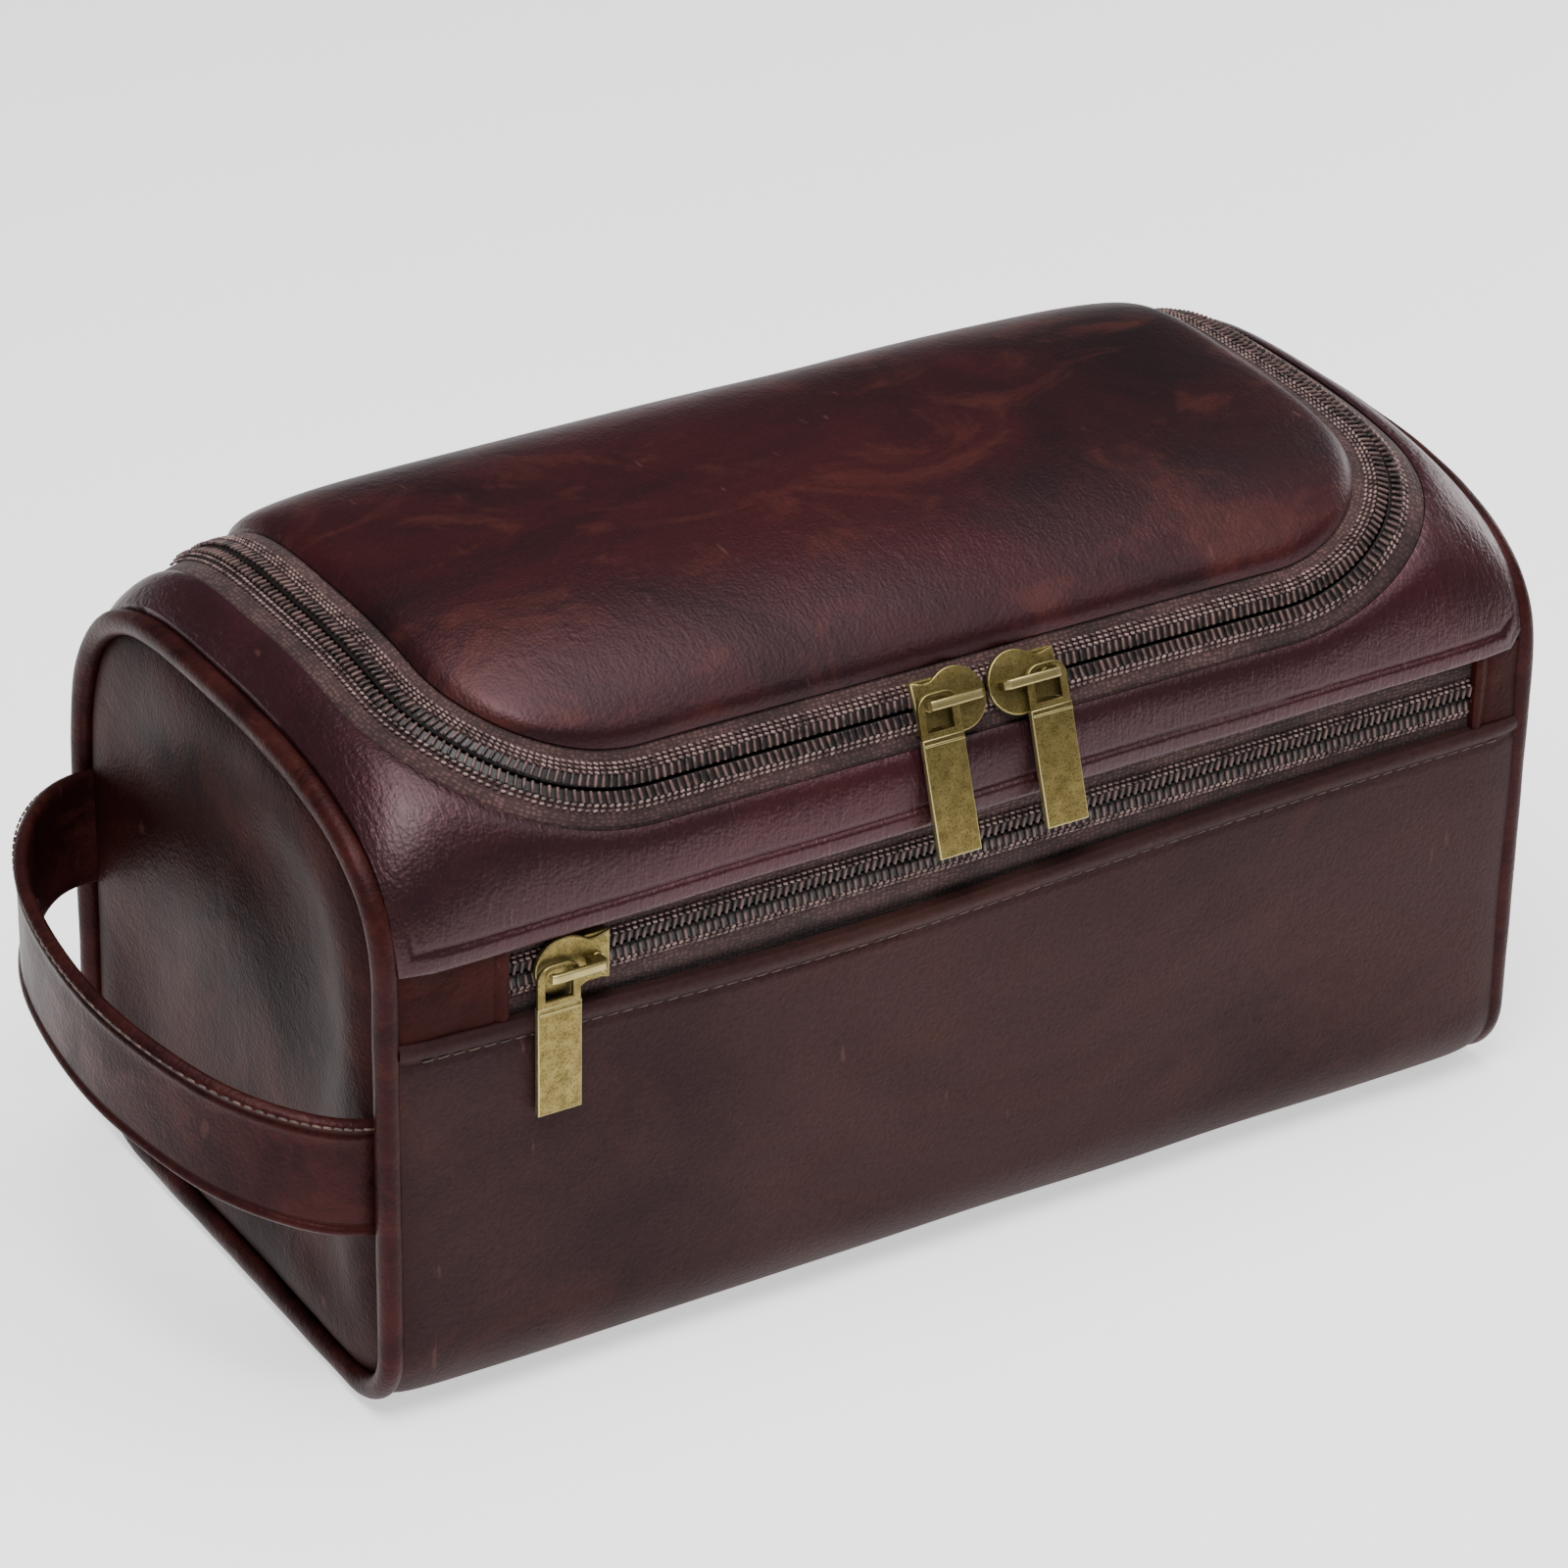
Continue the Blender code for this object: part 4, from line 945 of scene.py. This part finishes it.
def slider_model(flip, hook):
    """A slider about its middle on the chain; flip (1 or -1) is the way its head points, hook the bridge's free end."""
    head = bow((1.5, 0), 6.3, -116, 116, 28)
    outline = head + [(-3.6, 4.3), (-5.2, 4.3), (-SLIDER_HALF, 5.0), (-SLIDER_HALF, -5.0), (-5.2, -4.3), (-3.6, -4.3)]
    plate = flat_plate("slider", outline, 1.3, 0.35, level=0.75)
    for y in (-4.55, 4.55):
        rim = flat_plate("rim", [(-SLIDER_HALF + 0.1, y - 0.45), (1.5, y - 0.45), (1.5, y + 0.45),
                                 (-SLIDER_HALF + 0.1, y + 0.45)], 1.9, 0.2, level=-0.2)
        plate = united(plate, rim)
    bridge = flat_plate("bridge", [(5.6, 0.9), (5.9, 3.9), (4.9, 5.0), (-4.9, 5.15), (-6.2, 4.9), (-6.4, 3.7),
                                   (-5.5, 3.55), (-4.9, 3.95), (2.2, 3.8), (2.9, 3.1), (2.6, 0.9)], 1.9, 0.4)
    with editing(bridge):
        bpy.ops.transform.rotate(value=-math.pi / 2, orient_axis="X", center_override=(0, 0, 0))
    if hook * flip > 0:
        bridge.data.transform(Matrix.Rotation(math.pi, 4, "Z"))
    boss = flat_plate("boss", bow((-5.0, 0), 1.3, 0, 342, 20), 0.9, 0.3, level=1.5)
    plate = united(plate, bridge, boss)
    if flip < 0:
        for v in plate.data.vertices:
            v.co.x = -v.co.x
        plate.data.flip_normals()
    return plate


def set_down(obj, matrix):
    """Applies a placing matrix to the mesh, with the object left at the origin."""
    obj.data.transform(matrix)
    obj.matrix_world = Matrix.Identity(4)
    smooth(obj, 35)
    return obj


def chain_matrix(x, s, height):
    place = Vector(on_last(x, s, height)[0])
    out = (Vector(on_last(x, s, 0)[0]) - Vector(on_last(x, s, -MM)[0])).normalized()
    side = Vector((1, 0, 0))
    return Matrix.Translation(place) @ Matrix((side, out.cross(side), out)).transposed().to_4x4()


LEFT_SLIDER_X, RIGHT_SLIDER_X, POCKET_SLIDER_X = -7.0 * MM, 9.3 * MM, -90.5 * MM
SEAT, POCKET_SEAT = -0.3 * MM, -1.0 * MM  # the sliders' heights over the last
pocket_s = s_front(POCKET_SLIDER_X, POCKET_MIDDLE_Z)
seats = {
    "left": chain_matrix(LEFT_SLIDER_X, CHAIN_FRONT_S, SEAT),
    "right": chain_matrix(RIGHT_SLIDER_X, CHAIN_FRONT_S, SEAT),
    "pocket": chain_matrix(POCKET_SLIDER_X, pocket_s, POCKET_SEAT),
}
for side, flip, hook in (("left", 1, -1), ("right", -1, 1), ("pocket", -1, -1)):
    wear(set_down(slider_model(flip, hook), seats[side]), brass, "brass", f"{side}_slider", f"{side}_slider")
    bpy.context.object.name = f"{side}_slider_casting"

# Pulls: flat brass tabs with a loop at the top. The loop's ring passes under the bridge.

BAR_N, PULL_X = 4.5, 3.9  # mm: the bridge bar's height over the chain, and how far the pull hangs from the middle
PULL_TILT = {"left": 10.0, "right": 10.0, "pocket": 0.0}


def pull_model():
    ring = [(4.5, -8.0), *bow((1.5, -0.8), 3.0, 0, 90, 8), *bow((-1.5, -0.8), 3.0, 90, 180, 8), (-4.5, -8.0)]
    hole = [(2.9, -5.2), *bow((1.2, -0.4), 1.7, 0, 90, 6), *bow((-1.2, -0.4), 1.7, 90, 180, 6), (-2.9, -5.2)]
    loop = flat_plate("pull", ring, 1.1, 0.3, [hole], level=-1.6)
    tab = flat_plate("tab", [(4.6, -6.3), (4.6, -29.3), (-4.6, -29.3), (-4.6, -6.3)], 1.5, 0.35, level=-1.6)
    ridge = flat_plate("ridge", [(4.4, -7.2), (4.4, -7.75), (-4.4, -7.75), (-4.4, -7.2)], 0.8, 0.2, level=-0.95)
    return united(loop, tab, ridge)


for side, way in (("left", -1), ("right", 1), ("pocket", -1)):
    tilt = Matrix.Rotation(math.radians(PULL_TILT[side]), 4, "X")
    hang = Matrix.Translation((way * PULL_X * MM, 0, BAR_N * MM)) @ tilt
    tab = set_down(pull_model(), seats[side] @ hang)
    tab.name = f"{side}_pull_tab"
    wear(tab, brass, "brass", f"{side}_pull", f"{side}_pull")

# Handle: two strips of leather sewn back to back, with rolled edges, its ends caught in the left end's seam.

HANDLE_X, HANDLE_Z, HANDLE_RISE, HANDLE_LIFT = -126 * MM, 60 * MM, 7.5 * MM, 4.5 * MM
HANDLE_BOW, HANDLE_HALF_SPAN, HANDLE_HALF_WIDTH = 34.5 * MM, 59.2 * MM, 12.5 * MM


def strap_frame(angle):
    """The strap's middle at this angle round its bow, with its outward and upward directions."""
    place = np.array([HANDLE_X - HANDLE_BOW * math.sin(angle), -HANDLE_HALF_SPAN * math.cos(angle),
                      HANDLE_Z - HANDLE_RISE * math.cos(angle) + HANDLE_LIFT * math.sin(angle)])
    ahead = np.array([-HANDLE_BOW * math.cos(angle), HANDLE_HALF_SPAN * math.sin(angle),
                      HANDLE_RISE * math.sin(angle) + HANDLE_LIFT * math.cos(angle)])
    ahead /= np.linalg.norm(ahead)
    out = -np.cross(ahead, (0, 0, 1.0))
    out /= np.linalg.norm(out)
    up = np.cross(out, ahead)
    return place, out, up * (1 if up[2] > 0 else -1)


def strap_outer(w):
    """How far the strap's outer face stands from its middle, at w across it (-1 to 1)."""
    edge = (1 - abs(w)) * HANDLE_HALF_WIDTH
    ridge = 0.55 * MM * swell(edge, 1.3 * MM, 0.9 * MM)
    groove = -0.35 * MM * swell(edge, 2.7 * MM, 0.4 * MM)
    second = 0.25 * MM * swell(edge, 3.7 * MM, 0.7 * MM) if w > 0 else 0
    rounding = -1.1 * MM * fade(edge, 0.35 * MM)
    return 1.25 * MM + ridge + groove + second + rounding


across = np.concatenate([np.linspace(-1, -0.66, 16), np.linspace(-0.6, 0.6, 14), np.linspace(0.66, 1, 16)])
profile = [(w * HANDLE_HALF_WIDTH, strap_outer(w)) for w in across]
profile += [(w * HANDLE_HALF_WIDTH, -1.2 * MM + 1.0 * MM * abs(w) ** 24 - 0.2 * MM * (1 - w * w)) for w in across[::-1]]
profile.append(profile[0])
rings = []
for angle in np.linspace(-0.06, math.pi + 0.06, 150):
    place, out, up = strap_frame(angle)
    twist = 0.5 * MM * drift(angle * 2.2, 0, 5)
    rings.append([place + up * w + out * (h + twist) for w, h in profile])
caps = [np.mean(rings[0], axis=0), np.mean(rings[-1], axis=0)]
rings = [[caps[0]] * len(profile), *rings, [caps[1]] * len(profile)]
strap = grid_sheet("handle_strap_leather", np.array(rings), closed=True)
with editing(strap):
    bpy.ops.mesh.normals_make_consistent(inside=False)
smooth(strap, 60)
wear(strap, welt_leather, "leather", None, "handle_strap", "handle_backing", "handle_ear_front", "handle_ear_back")

STITCH_LEVEL = 0.9  # how far up the strap its stitches run
strap_rows = []
for angle in np.linspace(0.06, math.pi - 0.06, 64):
    place, out, up = strap_frame(angle)
    spot = np.eye(4)
    spot[:3, 0], spot[:3, 1], spot[:3, 2] = np.cross(up, out), up, out
    spot[:3, 3] = place + up * (STITCH_LEVEL * HANDLE_HALF_WIDTH) + out * (strap_outer(STITCH_LEVEL) + 0.02 * MM)
    strap_rows.append(spot)
sewing = repeat("handle_stitches", small_block("stitch", (1.7 * MM, 0.5 * MM, 0.4 * MM), 0.15 * MM, 1), strap_rows)
wear(sewing, thread_brown, "leather", None)
for piece in (strap, sewing):
    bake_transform(piece)

# Linings: plain-woven nylon on the inside of the body, the yoke, the lid and the ends, and a flat slip pocket of
# the same cloth on the back wall.

nylon_cloth = woven_tape("plain_woven_nylon", "#171313", "#332a28", 0.6 * MM, 0.6 * MM, 0.5)
LINING_HALF, POUCH_HALF, LINING_TOP_Z = 122.2 * MM, 92 * MM, 103 * MM
YOKE_STRIP_LENGTH, LID_LINING_DEPTH, LINING_GAP = 430 * MM, 114 * MM, 3.6 * MM


def cloth_panel(name, limits, inset, half, rows, columns, thick=CLOTH):
    """A flat piece on the inside of the last, this far in from it; half is half its length along the bag."""
    places, uv = [], []
    for x in np.linspace(-half, half, rows):
        start, stop = limits(float(x))
        s = np.linspace(start, stop, columns)
        places.append(on_last(x, s, -inset + unevenness(x, s, 0.25 * MM, 18 * MM, 11.0)))
        uv.append(np.column_stack([np.full(columns, x), s]))
    return thicken(name, places, from_core, thick, np.array(uv))


body_cloth = cloth_panel("body_lining_cloth",
                         lambda x: (s_front(x, LINING_TOP_Z), round_length(x) + s_back(x, HINGE_Y + 1 * MM)),
                         6.4 * MM, LINING_HALF, 90, 130)
wear(body_cloth, nylon_cloth, "lining", "bag", "body_lining")
slip = cloth_panel("slip_pocket_cloth",
                   lambda x: (s_base(x, BASE_BACK_Y), round_length(x) + s_back(x, HINGE_Y + 11 * MM)),
                   8.0 * MM, POUCH_HALF, 60, 50)
wear(slip, nylon_cloth, "lining", "bag", "slip_pocket")
yoke_cloth = yoke_sheet("yoke_lining_cloth", LINING_GAP, LINING_HALF, lambda x: LINING_TOP_Z, lambda *a: -3.4 * MM,
                        3 * MM, CLOTH)
wear(yoke_cloth, nylon_cloth, "lining", "bag", "yoke_lining")
lid_cloth = lid_sheet("lid_lining_cloth", -LINING_GAP, HINGE_Y - 3 * MM, lambda *a: -5.0 * MM, 70, 44, CLOTH,
                      skirt=-1.5 * MM)
wear(lid_cloth, nylon_cloth, "lining", "lid", "lid_lining")

# Hinge: a strip of the same leather sewn under the back's top edge and the lid's back edge.

hinge = cloth_panel("hinge_leather", lambda x: (round_length(x) + s_back(x, HINGE_Y + 8 * MM),
                                                round_length(x) + s_back(x, HINGE_Y - 9 * MM)),
                    2.0 * MM, 101 * MM, 60, 40, 0.8 * MM)
wear(hinge, front_leather, "leather", None, "hinge_strip")
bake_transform(hinge)

# Parts that the leather and linings hide: foam, boards, end linings and the pocket's lining keep their CAD shape.

dull_foam, tree, shader = new_material("polyethylene_foam", Roughness=0.9, Base_Color="#b9b6b0")
cells = add_node(tree, "TexVoronoi", {"Vector": add_node(tree, "TexCoord", output="Object"), "Scale": 900.0})
plug(tree, shader, Normal=add_node(tree, "Bump", {"Height": cells, "Strength": 0.5, "Distance": 0.0003}))
for node in ("back_foam", "front_board", "base_board", "lid_foam"):
    cover(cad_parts[node], dull_foam)
for node in ("left_end_lining", "right_end_lining", "pocket_lining"):
    cover(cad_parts[node], nylon_cloth)
